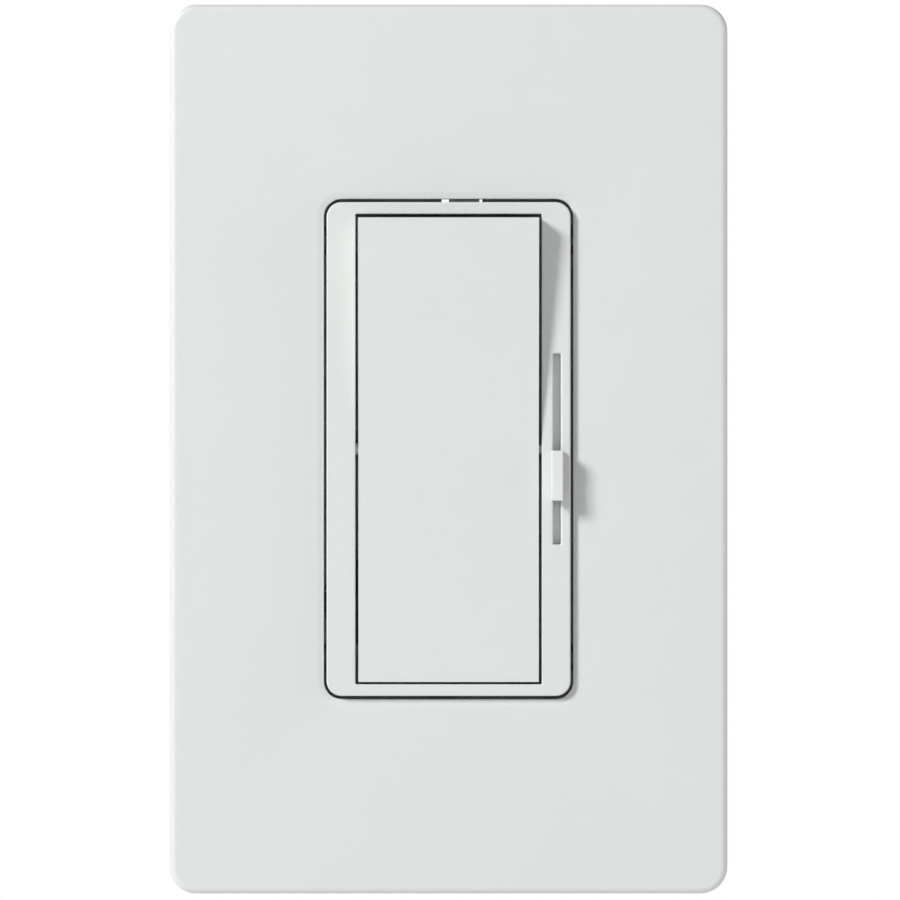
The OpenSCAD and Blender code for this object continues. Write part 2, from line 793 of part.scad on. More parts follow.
module housing_screws() {
    reach = 12;
    recess_w = 2.2;
    recess_depth = 0.7;
    color("#c9c9c4") for (sx = [-1, 1], sz = [-1, 1]) {
        difference() {
            union() {
                cone_y(housing_head_r, post_screw_r, yoke_front, yoke_front + housing_head_h, sx * post_x,
                    sz * post_z);
                rod_y(post_screw_r, yoke_front + housing_head_h - gap, reach, sx * post_x, sz * post_z);
            }
            cross_recess(recess_w, recess_depth, yoke_front, sx * post_x, sz * post_z);
        }
    }
}

module insulator_sheet() {
    sheet_t = 0.25;
    inset = 0.3;
    color("#8c7a5b") difference() {
        block([inset - cavity_w / 2, cavity_w / 2 - inset], [0, sheet_t],
            [inset - cavity_h / 2, cavity_h / 2 - inset]);
        for (sx = [-1, 1], sz = [-1, 1]) {
            translate([sx * cavity_w / 2, 0, sz * cavity_h / 2])
                block([-board_notch, board_notch], [-cut, cut], [-board_notch, board_notch]);
        }
        stem_hole(-cut, cut);
        translate([knob_x, 0, 0])
            block([-lever_w / 2 - 0.5, lever_w / 2 + 0.5], [-cut, cut], [-pot_h / 2, pot_h / 2]);
        rod_y(dial_shaft_r + 0.4, -cut, cut, dial_x, dial_z);
        block([triac_x - pad_w / 2 - 0.2, triac_x + pad_w / 2 + 0.2], [-cut, cut],
            [triac_z + pad_bottom - 0.2, triac_z + pad_top + 0.4]);
    }
}

// Slot for the line terminal's tail
module line_tail_slot(y0, y1) {
    block([-terminal_x - terminal_t - gap, gap - terminal_x], [y0, y1],
        [-tail_w / 2 - 0.2, tail_w / 2 + 0.2]);
}

module circuit_board() {
    color("#3f6b3a") difference() {
        block([-board_w / 2, board_w / 2], [board_y, board_back], [-board_h / 2, board_h / 2]);
        for (sx = [-1, 1], sz = [-1, 1]) {
            translate([sx * board_w / 2, 0, sz * board_h / 2])
                block([-board_notch, board_notch], [board_y - cut, board_back + cut],
                    [-board_notch, board_notch]);
        }
        block([-cutout_w / 2, cutout_w / 2], [board_y - cut, board_back + cut],
            [-cutout_h / 2, cutout_h / 2]);
        line_tail_slot(board_y - cut, board_back + cut);
        translate([cradle_tail_x, 0, 0])
            block([-gap, cradle_tail_t + gap], [board_y - cut, board_back + cut],
                [-tail_w / 2 - 0.2, tail_w / 2 + 0.2]);
        for (i = [-1, 0, 1]) {
            translate([triac_x + i * lead_pitch, 0, triac_z + lead_z])
                block([-lead_w / 2 - 0.2, lead_w / 2 + 0.2], [board_y - cut, board_back + cut],
                    [-lead_t / 2 - 0.15, lead_t / 2 + 0.15]);
        }
    }
}

// --- Power parts ---

module triac() {
    tab_t = 1.3;
    tab_bottom = -3.4;
    body_t = 4.5;
    body_bottom = 3.2;
    body_top = 12;
    lead_y = 2.3;
    color("#232325") translate([triac_x, pad_t, triac_z]) {
        difference() {
            block([-triac_w / 2, triac_w / 2], [0, tab_t], [tab_bottom, body_bottom]);
            rod_y(rivet_r + gap, -cut, tab_t + cut, 0, 0);
        }
        block([-triac_w / 2, triac_w / 2], [0, body_t], [body_bottom - gap, body_top]);
        for (i = [-1, 0, 1]) {
            translate([i * lead_pitch, 0, lead_z]) {
                block([-lead_w / 2, lead_w / 2], [lead_y, lead_y + lead_t],
                    [body_top - gap - lead_z, lead_t / 2]);
                block([-lead_w / 2, lead_w / 2], [lead_y, board_back + 0.8 - pad_t],
                    [-lead_t / 2, lead_t / 2]);
            }
        }
    }
}

module triac_pad() {
    color("#c7cbd6") difference() {
        block([triac_x - pad_w / 2, triac_x + pad_w / 2], [0, pad_t],
            [triac_z + pad_bottom, triac_z + pad_top]);
        rod_y(rivet_r + gap, -cut, cut, triac_x, triac_z);
    }
}

module triac_rivet() {
    head_r = 2.8;
    head_t = 0.9;
    shop_head_r = 2.6;
    shop_head_t = 0.8;
    grip = 1.5;
    color("#b9bbbd") {
        rod_y(head_r, yoke_front - head_t, yoke_front, triac_x, triac_z);
        rod_y(rivet_r, yoke_front - gap, grip + gap, triac_x, triac_z);
        rod_y(shop_head_r, grip, grip + shop_head_t, triac_x, triac_z);
    }
}

module choke_core() {
    flange_r = 6;
    flange_t = 1.2;
    flange_x = choke_w / 2 + 0.1;
    color("#3b3b3d") for (side = [0, 1]) mirror([side, 0, 0]) {
        rod_x(choke_core_r, 0, flange_x + gap, choke_y, choke_z);
        rod_x(flange_r, flange_x, flange_x + flange_t, choke_y, choke_z);
    }
}

module choke_winding() {
    winding_r = 5.5;
    color("#b4662f") difference() {
        rod_x(winding_r, -choke_w / 2, choke_w / 2, choke_y, choke_z);
        rod_x(choke_core_r + 0.05, -choke_w, choke_w, choke_y, choke_z);
    }
}

module film_capacitor() {
    w = 18;
    h = 9.8;
    reach = 10;
    bottom = 16.8;
    color("#c9b23a") block([-w / 2, w / 2], [part_front, board_back + reach], [bottom, bottom + h]);
}

module timing_capacitor() {
    r = 4;
    reach = 12;
    x = -13.4;
    z = -9.6;
    color("#2a3c66") rod_y(r, part_front, board_back + reach, x, z);
}

module varistor() {
    disc_r = 5;
    disc_t = 3;
    lead_r = 0.35;
    lead_spacing = 5;
    x = -14.1;
    z = 11.2;
    disc_y = board_back + 6.2;
    color("#2c6ea3") {
        rod_x(disc_r, x - disc_t / 2, x + disc_t / 2, disc_y, z);
        for (side = [-1, 1]) rod_y(lead_r, board_back, disc_y - disc_r + 2, x, z + side * lead_spacing / 2);
    }
}

// Axial part along Z at x, lying on the back of the board, with bent leads
module axial_part(x, z, r, length) {
    lead_r = 0.3;
    reach = length / 2 + 1.6;
    rod_z(r, z - length / 2, z + length / 2, x, part_front + r);
    rod_z(lead_r, z - reach, z + reach, x, part_front + r);
    for (side = [-1, 1]) rod_y(lead_r, board_back, part_front + r, x, z + side * (reach - lead_r));
}

module resistors() {
    first_x = 10;
    pitch = 2.8;
    color("#cdb58a") for (i = [0 : 2]) axial_part(first_x + i * pitch, 0, 1.1, 6.4);
}

module diac() {
    color("#c4562f") axial_part(10.4, 13, 0.9, 3.6);
}

module thermal_fuse() {
    color("#b8bcc2") axial_part(14.6, 17, 1.7, 8);
}

// --- Switch ---

module switch_base() {
    color("#3c3f44") difference() {
        block([-tray_w / 2, tray_w / 2], [board_back, tray_floor_y + tray_wall], [-tray_h / 2, tray_h / 2]);
        block([tray_wall - tray_w / 2, tray_w / 2 - tray_wall], [board_back - cut, tray_floor_y],
            [tray_wall - tray_h / 2, tray_h / 2 - tray_wall]);
        for (z = [-contact_z, contact_z]) {
            block([tray_w / 2 - tray_wall - cut, tray_w / 2 + cut], [strip_y - gap, tray_floor_y],
                [z - traveler_strip_w / 2 - gap, z + traveler_strip_w / 2 + gap]);
        }
        block([-tray_w / 2 - cut, tray_wall - tray_w / 2 + cut], [strip_y - gap, tray_floor_y],
            [-cradle_w / 2 - gap, cradle_w / 2 + gap]);
    }
}

module at_seesaw() {
    translate([0, seesaw_y, 0]) rotate([seesaw_tilt, 0, 0]) children();
}

module contact_seesaw() {
    color("#c08a4e") at_seesaw() {
        block([-seesaw_w / 2, seesaw_w / 2], [-seesaw_t / 2, seesaw_t / 2], [-seesaw_arm, seesaw_arm]);
        rod_x(pin_r, -pin_reach, pin_reach, 0, 0);
    }
}

module seesaw_contacts() {
    color("#c6c8cb") at_seesaw() for (side = [-1, 1]) {
        rod_y(contact_r, seesaw_t / 2, seesaw_t / 2 + contact_t, 0, side * contact_z);
    }
}

module seesaw_cradle() {
    ear_t = 0.7;
    ear_x = seesaw_w / 2 + 0.3;
    ear_h = 2.6;
    ear_front = seesaw_y - 1.1;
    color("#c79a4b") difference() {
        union() {
            block([cradle_tail_x, ear_x + ear_t], [strip_y, strip_y + strip_t],
                [-cradle_w / 2, cradle_w / 2]);
            for (side = [0, 1]) mirror([side, 0, 0])
                block([ear_x, ear_x + ear_t], [ear_front, strip_y + gap], [-ear_h / 2, ear_h / 2]);
            block([cradle_tail_x, cradle_tail_x + cradle_tail_t], [tail_front, strip_y + gap],
                [-tail_w / 2, tail_w / 2]);
        }
        rod_x(pin_r + fit_clearance, -pin_reach - cut, pin_reach + cut, seesaw_y, 0);
    }
}

module fixed_contacts() {
    open_gap = 0.08;
    color("#c6c8cb") for (side = [-1, 1]) {
        rod_y(contact_r, seesaw_y + contact_swing + open_gap, strip_y, 0, side * contact_z);
    }
}

// --- Terminals ---

module terminal_plate() {
    difference() {
        block([terminal_x, terminal_x + terminal_t], [terminal_front, terminal_back],
            [-terminal_w / 2, terminal_w / 2]);
        rod_x(screw_r + screw_clearance, terminal_x - cut, terminal_x + terminal_t + cut, terminal_screw_y,
            0);
    }
}

module traveler_terminal() {
    color("#c79a4b") {
        block([-2, terminal_x + gap], [strip_y, strip_y + strip_t],
            [-traveler_strip_w / 2, traveler_strip_w / 2]);
        terminal_plate();
    }
}

module traveler_terminal_upper() {
    translate([0, 0, contact_z]) traveler_terminal();
}

module traveler_terminal_lower() {
    translate([0, 0, -contact_z]) traveler_terminal();
}

module line_terminal() {
    color("#c79a4b") mirror([1, 0, 0]) {
        terminal_plate();
        block([terminal_x, terminal_x + terminal_t], [tail_front, terminal_front + gap],
            [-tail_w / 2, tail_w / 2]);
    }
}

module terminal_screw() {
    head_x = clamp_x + clamp_t;
    slot_depth = 1;
    difference() {
        union() {
            rod_x(terminal_head_r, head_x, head_x + terminal_head_h, terminal_screw_y, 0);
            rod_x(screw_r, terminal_x - 1.1, head_x + gap, terminal_screw_y, 0);
        }
        block([head_x + terminal_head_h - slot_depth, head_x + terminal_head_h + cut],
            [terminal_screw_y - terminal_head_r - cut, terminal_screw_y + terminal_head_r + cut],
            [-driver_slot / 2, driver_slot / 2]);
    }
}

module line_terminal_screw() {
    color("#2e2e30") mirror([1, 0, 0]) terminal_screw();
}

module traveler_terminal_screws() {
    color("#d0a24f") for (z = [-contact_z, contact_z]) translate([0, 0, z]) terminal_screw();
}

module terminal_clamps() {
    color("#c9c9c4") at_terminals() difference() {
        block([clamp_x, clamp_x + clamp_t], [terminal_front + 0.5, terminal_back - 0.5],
            [-terminal_w / 2, terminal_w / 2]);
        rod_x(screw_r + screw_clearance, clamp_x - cut, clamp_x + clamp_t + cut, terminal_screw_y, 0);
    }
}

wallplate_cover();
wallplate_adapter();
adapter_screws();
bezel();
bezel_clip();
paddle();
plunger_spring();
detent_plunger();
slider_knob();
slider_shutter();
slide_pot_body();
slide_pot_element();
slide_pot_lever();
trim_dial();
trim_pot_body();
yoke();
mounting_screws();
screw_retainers();
ground_screw();
back_housing();
housing_screws();
insulator_sheet();
circuit_board();
triac();
triac_pad();
triac_rivet();
choke_core();
choke_winding();
film_capacitor();
timing_capacitor();
varistor();
resistors();
diac();
thermal_fuse();
switch_base();
contact_seesaw();
seesaw_contacts();
seesaw_cradle();
fixed_contacts();
traveler_terminal_upper();
traveler_terminal_lower();
line_terminal();
line_terminal_screw();
traveler_terminal_screws();
terminal_clamps();
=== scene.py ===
import json
import math

import bmesh
import bpy
from mathutils import Matrix, Vector

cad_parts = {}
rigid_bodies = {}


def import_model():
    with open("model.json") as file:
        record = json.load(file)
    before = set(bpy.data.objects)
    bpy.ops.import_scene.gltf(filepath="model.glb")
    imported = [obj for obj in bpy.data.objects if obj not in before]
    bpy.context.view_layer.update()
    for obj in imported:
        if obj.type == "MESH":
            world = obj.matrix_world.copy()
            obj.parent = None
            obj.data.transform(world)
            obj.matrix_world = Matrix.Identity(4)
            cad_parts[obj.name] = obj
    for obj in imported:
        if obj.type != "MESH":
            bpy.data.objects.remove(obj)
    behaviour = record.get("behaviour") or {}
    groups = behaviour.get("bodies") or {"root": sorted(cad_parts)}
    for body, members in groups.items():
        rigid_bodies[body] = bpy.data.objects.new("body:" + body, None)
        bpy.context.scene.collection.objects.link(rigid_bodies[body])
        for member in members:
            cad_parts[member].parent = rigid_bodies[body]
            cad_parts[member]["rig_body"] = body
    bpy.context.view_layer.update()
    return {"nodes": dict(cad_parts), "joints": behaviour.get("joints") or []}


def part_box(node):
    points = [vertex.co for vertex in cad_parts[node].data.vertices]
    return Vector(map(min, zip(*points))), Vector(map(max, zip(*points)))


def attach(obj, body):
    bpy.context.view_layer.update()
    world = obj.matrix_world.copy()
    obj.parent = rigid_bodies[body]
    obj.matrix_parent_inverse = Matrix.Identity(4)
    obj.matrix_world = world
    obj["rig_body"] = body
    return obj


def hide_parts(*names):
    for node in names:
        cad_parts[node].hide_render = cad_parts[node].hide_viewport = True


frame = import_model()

MM = 0.001
scene = bpy.context.scene
joints = {joint["name"]: joint for joint in frame["joints"]}


# --- Camera: a long lens looks straight at the wallplate from far off, so that the plate's sides
# and the walls of its gaps hardly show ---
camera_distance = 700 * MM
picture_height = 120.44 * MM
camera_x, camera_z = 0.19 * MM, -0.13 * MM

camera_data = bpy.data.cameras.new("camera")
camera_data.lens = camera_data.sensor_width * camera_distance / picture_height
camera_data.clip_start = 10 * MM
camera = bpy.data.objects.new("camera", camera_data)
camera.location = (camera_x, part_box("wallplate_cover")[0].y - camera_distance, camera_z)
camera.rotation_euler = (math.pi / 2, 0, 0)
scene.collection.objects.link(camera)
scene.camera = camera
scene.view_settings.view_transform = "Standard"


# --- Studio: pale floor under white air, one soft key from the upper left, a broad fill from the
# front, a low light along the wall from the right and a weak one from behind. Only what the lens
# sees directly of the air is clean white ---
def linear(hex_colour):
    """An sRGB hex colour as linear RGBA."""
    def channel(value):
        return value / 12.92 if value <= 0.04045 else ((value + 0.055) / 1.055) ** 2.4
    return tuple(channel(int(hex_colour[i:i + 2], 16) / 255) for i in (1, 3, 5)) + (1.0,)


def add(tree, kind, inputs=None, **settings):
    """Adds a node, sets its properties, and sets or links its inputs."""
    made = tree.nodes.new(kind)
    for key, value in settings.items():
        setattr(made, key, value)
    for key, value in (inputs or {}).items():
        if isinstance(value, bpy.types.NodeSocket):
            tree.links.new(value, made.inputs[key])
        else:
            made.inputs[key].default_value = value
    return made


def new_material(name):
    """An empty material and its node tree."""
    made = bpy.data.materials.new(name)
    made.use_nodes = True
    made.node_tree.nodes.clear()
    return made, made.node_tree


# Matt background paper with a faint felted tooth. Its glow is for the lens alone and lights nothing
fibre_mm, floor_glow = 4, 0.5
floor_paper, tree = new_material("pale_floor_paper")
fibres = add(tree, "ShaderNodeTexNoise", {
    "Vector": add(tree, "ShaderNodeTexCoord").outputs["Object"], "Scale": 1 / (fibre_mm * MM), "Detail": 3.0})
shade = add(tree, "ShaderNodeMix", {0: fibres.outputs["Fac"], 6: linear("#eeeeec"), 7: linear("#f4f4f2")},
            data_type="RGBA")
tooth = add(tree, "ShaderNodeBump", {"Height": fibres.outputs["Fac"], "Distance": 0.1 * MM})
to_lens = add(tree, "ShaderNodeLightPath").outputs["Is Camera Ray"]
glow = add(tree, "ShaderNodeMath", {0: to_lens, 1: floor_glow}, operation="MULTIPLY")
shader = add(tree, "ShaderNodeBsdfPrincipled", {
    "Base Color": shade.outputs[2], "Roughness": 0.9, "Normal": tooth.outputs[0],
    "Emission Color": shade.outputs[2], "Emission Strength": glow.outputs[0]})
add(tree, "ShaderNodeOutputMaterial", {"Surface": shader.outputs[0]})
floor_reach, floor_z = 3.0, -0.40
floor_corners = [(x * floor_reach, y * floor_reach, floor_z) for x, y in ((-1, -1), (1, -1), (1, 1), (-1, 1))]
floor_mesh = bpy.data.meshes.new("studio_floor")
floor_mesh.from_pydata(floor_corners, [], [(0, 1, 2, 3)])
floor_mesh.materials.append(floor_paper)
floor = bpy.data.objects.new("studio_floor", floor_mesh)
scene.collection.objects.link(floor)

air_light, air_seen = 0.20, 1.0
world = bpy.data.worlds.new("studio_air")
world.use_nodes = True
tree = world.node_tree
tree.nodes.clear()
to_lens = add(tree, "ShaderNodeLightPath").outputs["Is Camera Ray"]
strength = add(tree, "ShaderNodeMapRange", {"Value": to_lens, "To Min": air_light, "To Max": air_seen})
air = add(tree, "ShaderNodeBackground", {"Color": linear("#ffffff"), "Strength": strength.outputs[0]})
add(tree, "ShaderNodeOutputWorld", {"Surface": air.outputs[0]})
scene.world = world


def soft_light(name, place, size, watts):
    """A square white soft box at place that shines towards the dimmer."""
    data = bpy.data.lights.new(name, "AREA")
    data.shape, data.size, data.energy = "SQUARE", size, watts
    light = bpy.data.objects.new(name, data)
    light.location = place
    light.rotation_euler = (-Vector(place)).to_track_quat("-Z", "Y").to_euler()
    scene.collection.objects.link(light)


soft_light("key_light", (-1.12, -1.00, 0.75), 0.42, 25.8)
soft_light("fill_light", (0.55, -1.6, 0.25), 1.6, 1.3)
soft_light("side_light", (1.30, -0.15, 0.10), 0.8, 5.0)
soft_light("back_light", (-0.9, 1.3, 0.8), 0.8, 12.0)


# --- Wallplate: moulded in white polycarbonate with a fine satin grain. It has no screws
# of its own: four pegs on its back press into the adapter ---
def moulded_plastic(name, hex_colour, grain_mm, grain_depth_mm, roughness, mottle=0.012, flow_mm=14,
                    ior=1.5):
    """Moulded plastic: spark-eroded grain, slow flow mottling in the colour and uneven gloss."""
    material, tree = new_material(name)
    place = add(tree, "ShaderNodeTexCoord").outputs["Object"]
    flow = add(tree, "ShaderNodeTexNoise", {"Vector": place, "Scale": 1 / (flow_mm * MM), "Detail": 3.0})
    grain = add(tree, "ShaderNodeTexNoise", {"Vector": place, "Scale": 1 / (grain_mm * MM), "Detail": 2.0})
    base = linear(hex_colour)
    dull = tuple(value * (1 - mottle) for value in base[:3]) + (1.0,)
    lively = tuple(min(1.0, value * (1 + mottle)) for value in base[:3]) + (1.0,)
    colour = add(tree, "ShaderNodeMix", {0: flow.outputs["Fac"], 6: dull, 7: lively}, data_type="RGBA")
    satin = add(tree, "ShaderNodeMapRange", {
        "Value": grain.outputs["Fac"], "To Min": roughness - 0.05, "To Max": roughness + 0.05})
    bump = add(tree, "ShaderNodeBump", {
        "Height": grain.outputs["Fac"], "Strength": 1.0, "Distance": grain_depth_mm * MM})
    shader = add(tree, "ShaderNodeBsdfPrincipled", {
        "Base Color": colour.outputs[2], "Roughness": satin.outputs[0], "Normal": bump.outputs[0],
        "IOR": ior})
    add(tree, "ShaderNodeOutputMaterial", {"Surface": shader.outputs[0]})
    return material


def outline(width, height, radius, y, steps=10):
    """Points of a rounded rectangle at depth y, in mm, seen from the front and starting top right."""
    points = []
    for sx, sz, start in ((1, 1, 0), (-1, 1, 90), (-1, -1, 180), (1, -1, 270)):
        for i in range(steps + 1):
            turn = math.radians(start + 90 * i / steps)
            points.append((sx * (width / 2 - radius) + radius * math.cos(turn), y,
                           sz * (height / 2 - radius) + radius * math.sin(turn)))
    return points


def edge_round(width, height, radius, y_side, y_face, edge, steps=8, inward=False):
    """Outlines round an edge, from a side wall to a face. inward is for the edge of an opening."""
    least_radius, level_mm = 0.02, 0.06
    rings = []
    sign = -1 if inward else 1
    way = 1 if y_side > y_face else -1
    for i in range(steps + 1):
        turn = math.pi / 2 * i / steps
        inset = sign * edge * (1 - math.cos(turn))
        rings.append((width - 2 * inset, height - 2 * inset, max(radius - inset, least_radius),
                      y_face + way * edge * (1 - math.sin(turn))))
    # a narrow level ring on the face keeps the face's own shading flat
    inset = sign * (edge + level_mm)
    rings.append((width - 2 * inset, height - 2 * inset, max(radius - inset, least_radius), y_face))
    return rings


def link_mesh(name, build, *materials):
    """A new object from a bmesh in mm, scaled to metres."""
    bmesh.ops.scale(build, vec=(MM, MM, MM), verts=build.verts)
    mesh = bpy.data.meshes.new(name)
    build.to_mesh(mesh)
    build.free()
    for material in materials:
        mesh.materials.append(material)
    made = bpy.data.objects.new(name, mesh)
    scene.collection.objects.link(made)
    return made


def loft(build, rings, closed=False, steps=10):
    """Skins a row of outlines. A closed row ends where it began, as a frame's does; others get caps."""
    loops = [[build.verts.new(point) for point in outline(*ring, steps=steps)] for ring in rings]
    count = len(loops[0])
    pairs = list(zip(loops, loops[1:] + loops[:1])) if closed else list(zip(loops, loops[1:]))
    for near, far in pairs:
        for i in range(count):
            build.faces.new((near[i], near[(i + 1) % count], far[(i + 1) % count], far[i]))
    if not closed:
        build.faces.new(loops[0])
        build.faces.new(reversed(loops[-1]))
    bmesh.ops.recalc_face_normals(build, faces=build.faces)
    return loops


def smooth_by_angle(made, degrees=35):
    """Smooth shading that keeps edges sharper than the angle."""
    for face in made.data.polygons:
        face.use_smooth = True
    made.data.set_sharp_from_angle(angle=math.radians(degrees))


def size_of(node):
    """A CAD node's lowest and highest corner in mm."""
    low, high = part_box(node)
    return low / MM, high / MM


plate_low, plate_high = size_of("wallplate_cover")
bezel_low, bezel_high = size_of("bezel")
plate_size = plate_high - plate_low
plate_wall_mm = 2.0
plate_corner_mm = 3.6
plate_edge_mm = 0.88
plate_inner_corner_mm = 1.6
lip_mm, lip_drop_mm = 0.90, 0.15
opening_corner_mm = 2.4
peg_r_mm, peg_tip_r_mm, peg_end_mm, peg_taper_mm = 1.6, 1.3, -1.95, 0.35
adapter_gap_mm, peg_from_side_mm, peg_from_end_mm = 1.2, 5, 6
gap_side_mm, gap_end_mm = 0.4, 0.5
bezel_width_mm = bezel_high.x - bezel_low.x
bezel_height_mm = bezel_high.z - bezel_low.z
opening_mm = (bezel_width_mm + 2 * gap_side_mm, bezel_height_mm + 2 * gap_end_mm)
face_y = plate_low.y
inner_mm = (plate_size.x - 2 * plate_wall_mm, plate_size.z - 2 * plate_wall_mm)

# Polycarbonate from a finely eroded mould: an even satin sheen with no sharp reflections
satin_white = moulded_plastic("satin_white_polycarbonate", "#dcdfdd", 0.28, 0.004, 0.42)
build = bmesh.new()
rings = [(plate_size.x - 0.2, plate_size.z - 0.2, plate_corner_mm - 0.1, 0.0),
         (plate_size.x, plate_size.z, plate_corner_mm, -0.1),
         (plate_size.x, plate_size.z, plate_corner_mm, face_y + plate_edge_mm + 0.1)]
rings += edge_round(plate_size.x, plate_size.z, plate_corner_mm, 0, face_y, plate_edge_mm)
# a shallow lip round the opening: a small step down from the face, a slope and a rounded corner
for out, down in ((lip_mm + 0.06, 0), (lip_mm, 0.004), (lip_mm - 0.06, 0.014), (0.10, lip_drop_mm - 0.01),
                  (0.05, lip_drop_mm + 0.01), (0.015, lip_drop_mm + 0.04), (0, lip_drop_mm + 0.09),
                  (0, plate_wall_mm)):
    rings.append((opening_mm[0] + 2 * out, opening_mm[1] + 2 * out, opening_corner_mm + out, face_y + down))
rings += [(*inner_mm, plate_inner_corner_mm, face_y + plate_wall_mm),
          (*inner_mm, plate_inner_corner_mm, -0.1),
          (inner_mm[0] + 0.2, inner_mm[1] + 0.2, plate_inner_corner_mm + 0.1, 0.0)]
loft(build, rings, closed=True, steps=14)
peg_x = inner_mm[0] / 2 - adapter_gap_mm - peg_from_side_mm
peg_z = inner_mm[1] / 2 - adapter_gap_mm - peg_from_end_mm
peg_root_mm, taper_start_mm = face_y + plate_wall_mm - 0.1, peg_end_mm - peg_taper_mm
peg_lengths = ((peg_r_mm, peg_root_mm, taper_start_mm), (peg_tip_r_mm, taper_start_mm, peg_end_mm))
for sx in (-1, 1):
    for sz in (-1, 1):
        for tip_r, y0, y1 in peg_lengths:
            bmesh.ops.create_cone(
                build, cap_ends=True, segments=32, radius1=tip_r, radius2=peg_r_mm, depth=y1 - y0,
                matrix=Matrix.Translation((sx * peg_x, (y0 + y1) / 2, sz * peg_z))
                @ Matrix.Rotation(math.pi / 2, 4, "X"))
wallplate = link_mesh("wallplate", build, satin_white)
smooth_by_angle(wallplate)
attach(wallplate, "wallplate")
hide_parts("wallplate_cover")


# --- Adapter: a frame of coarser moulded ABS that two screws hold on the yoke. The wallplate
# presses onto it, so its own finish is plainer ---
body_of = {node: made["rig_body"] for node, made in frame["nodes"].items()}


def finish(material, *nodes):
    """Gives CAD nodes whose shape is right their material."""
    for node in nodes:
        made = frame["nodes"][node]
        made.data.materials.clear()
        made.data.materials.append(material)


def stand_in(made, *nodes):
    """Lets a new piece stand for CAD nodes: puts it on their body and hides the nodes."""
    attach(made, body_of[nodes[0]])
    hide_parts(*nodes)


def even_shading(made, degrees=30):
    """Smooth shading whose normals follow the large faces, so that flats stay flat beside an edge."""
    smooth_by_angle(made, degrees)
    weighted = made.modifiers.new("even_shading", "WEIGHTED_NORMAL")
    weighted.keep_sharp, weighted.weight, weighted.mode = True, 100, "FACE_AREA"
    result = bpy.data.meshes.new_from_object(made.evaluated_get(bpy.context.evaluated_depsgraph_get()))
    made.modifiers.clear()
    made.data = result


def broken_edges(node, name, width_mm, material, segments=2, degrees=35, least_mm=0.0):
    """A node's own shape with its sharp edges broken, as a mould or a tumbler leaves them."""
    build = bmesh.new()
    build.from_mesh(frame["nodes"][node].data)
    bmesh.ops.remove_doubles(build, verts=build.verts, dist=0.0005 * MM)
    bmesh.ops.dissolve_limit(build, angle_limit=math.radians(0.5), verts=build.verts, edges=build.edges)
    sharp = [edge for edge in build.edges
             if len(edge.link_faces) == 2 and edge.calc_face_angle(0) > math.radians(degrees)
             and edge.calc_length() > least_mm * MM]
    bmesh.ops.bevel(build, geom=sharp, offset=width_mm * MM, offset_type="OFFSET", segments=segments,
                    profile=0.5, affect="EDGES", clamp_overlap=True)
    mesh = bpy.data.meshes.new(name)
    build.to_mesh(mesh)
    build.free()
    mesh.materials.clear()
    mesh.materials.append(material)
    made = bpy.data.objects.new(name, mesh)
    scene.collection.objects.link(made)
    even_shading(made)
    stand_in(made, node)
    return made


# ABS from a coarser mould: duller than the wallplate, because nobody sees it
coarse_white = moulded_plastic("coarse_white_abs", "#d3d5d3", 0.5, 0.012, 0.55)
broken_edges("wallplate_adapter", "adapter_frame", 0.2, coarse_white)


# --- Bezel: white moulded frame. Its slot, side window, bearing bores and slider channels
# are cut where the design has them ---

# Polycarbonate with a finer grain than the wallplate's, so it looks a little brighter and smoother
device_white = moulded_plastic("fine_satin_white_polycarbonate", "#dde0de", 0.22, 0.003, 0.40)
bezel_front_mm = bezel_low.y
strap_front_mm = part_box("yoke")[0].y / MM
paddle_pivot = Vector(joints["paddle_rock"]["pos_m"]) / MM
strip_mm, end_mm, wall_mm, channel_mm, face_mm = 3.85, 1.55, 0.9, 1.8, 1.2
bezel_corner_mm, bezel_edge_mm, well_corner_mm, well_edge_mm = 2.0, 0.2, 0.2, 0.12
window_half_mm, window_front_mm, bearing_r_mm, clip_room_mm, clip_hook_mm = 7.15, 0.6, 0.86, 0.1, 0.8
slot_corner_mm = 0.12
well_mm = (bezel_width_mm - 2 * strip_mm, bezel_height_mm - 2 * end_mm)
channel_x_mm = bezel_width_mm / 2 - wall_mm - channel_mm / 2
knob_low, knob_high = size_of("slider_knob")
slider_travel = joints["slider_travel"]["range_m"]
slot_mm = (1.0, (slider_travel[1] - slider_travel[0]) / MM + knob_high.z - knob_low.z)
dial_low = size_of("trim_dial")[0]
dial_axis = Vector(joints["trim_turn"]["pos_m"]) / MM

build = bmesh.new()
bezel_outline = (bezel_width_mm, bezel_height_mm, bezel_corner_mm)
rings = [(*bezel_outline, strap_front_mm), (*bezel_outline, bezel_front_mm + 0.5)]
rings += edge_round(*bezel_outline, 0, bezel_front_mm, bezel_edge_mm)
rings += reversed(edge_round(*well_mm, well_corner_mm, 0, bezel_front_mm, well_edge_mm, steps=4,
                             inward=True))
rings += [(*well_mm, well_corner_mm, strap_front_mm)]
loft(build, rings, closed=True, steps=10)
bezel = link_mesh("bezel_frame", build, device_white)


def box_cutter(build, low, high):
    """A plain block between two corners, in mm."""
    middle, size = (Vector(low) + Vector(high)) / 2, Vector(high) - Vector(low)
    bmesh.ops.create_cube(build, size=1.0,
                          matrix=Matrix.Translation(middle) @ Matrix.Diagonal((*size, 1.0)))


def cut_away(made, build):
    """Subtracts a bmesh of cutters from an object and keeps the result as a plain mesh."""
    cutter = link_mesh("cutter", build)
    boolean = made.modifiers.new("cuts", "BOOLEAN")
    boolean.operation, boolean.solver, boolean.object = "DIFFERENCE", "EXACT", cutter
    boolean.use_self = True
    result = bpy.data.meshes.new_from_object(made.evaluated_get(bpy.context.evaluated_depsgraph_get()))
    made.modifiers.clear()
    made.data = result
    bpy.data.objects.remove(cutter)


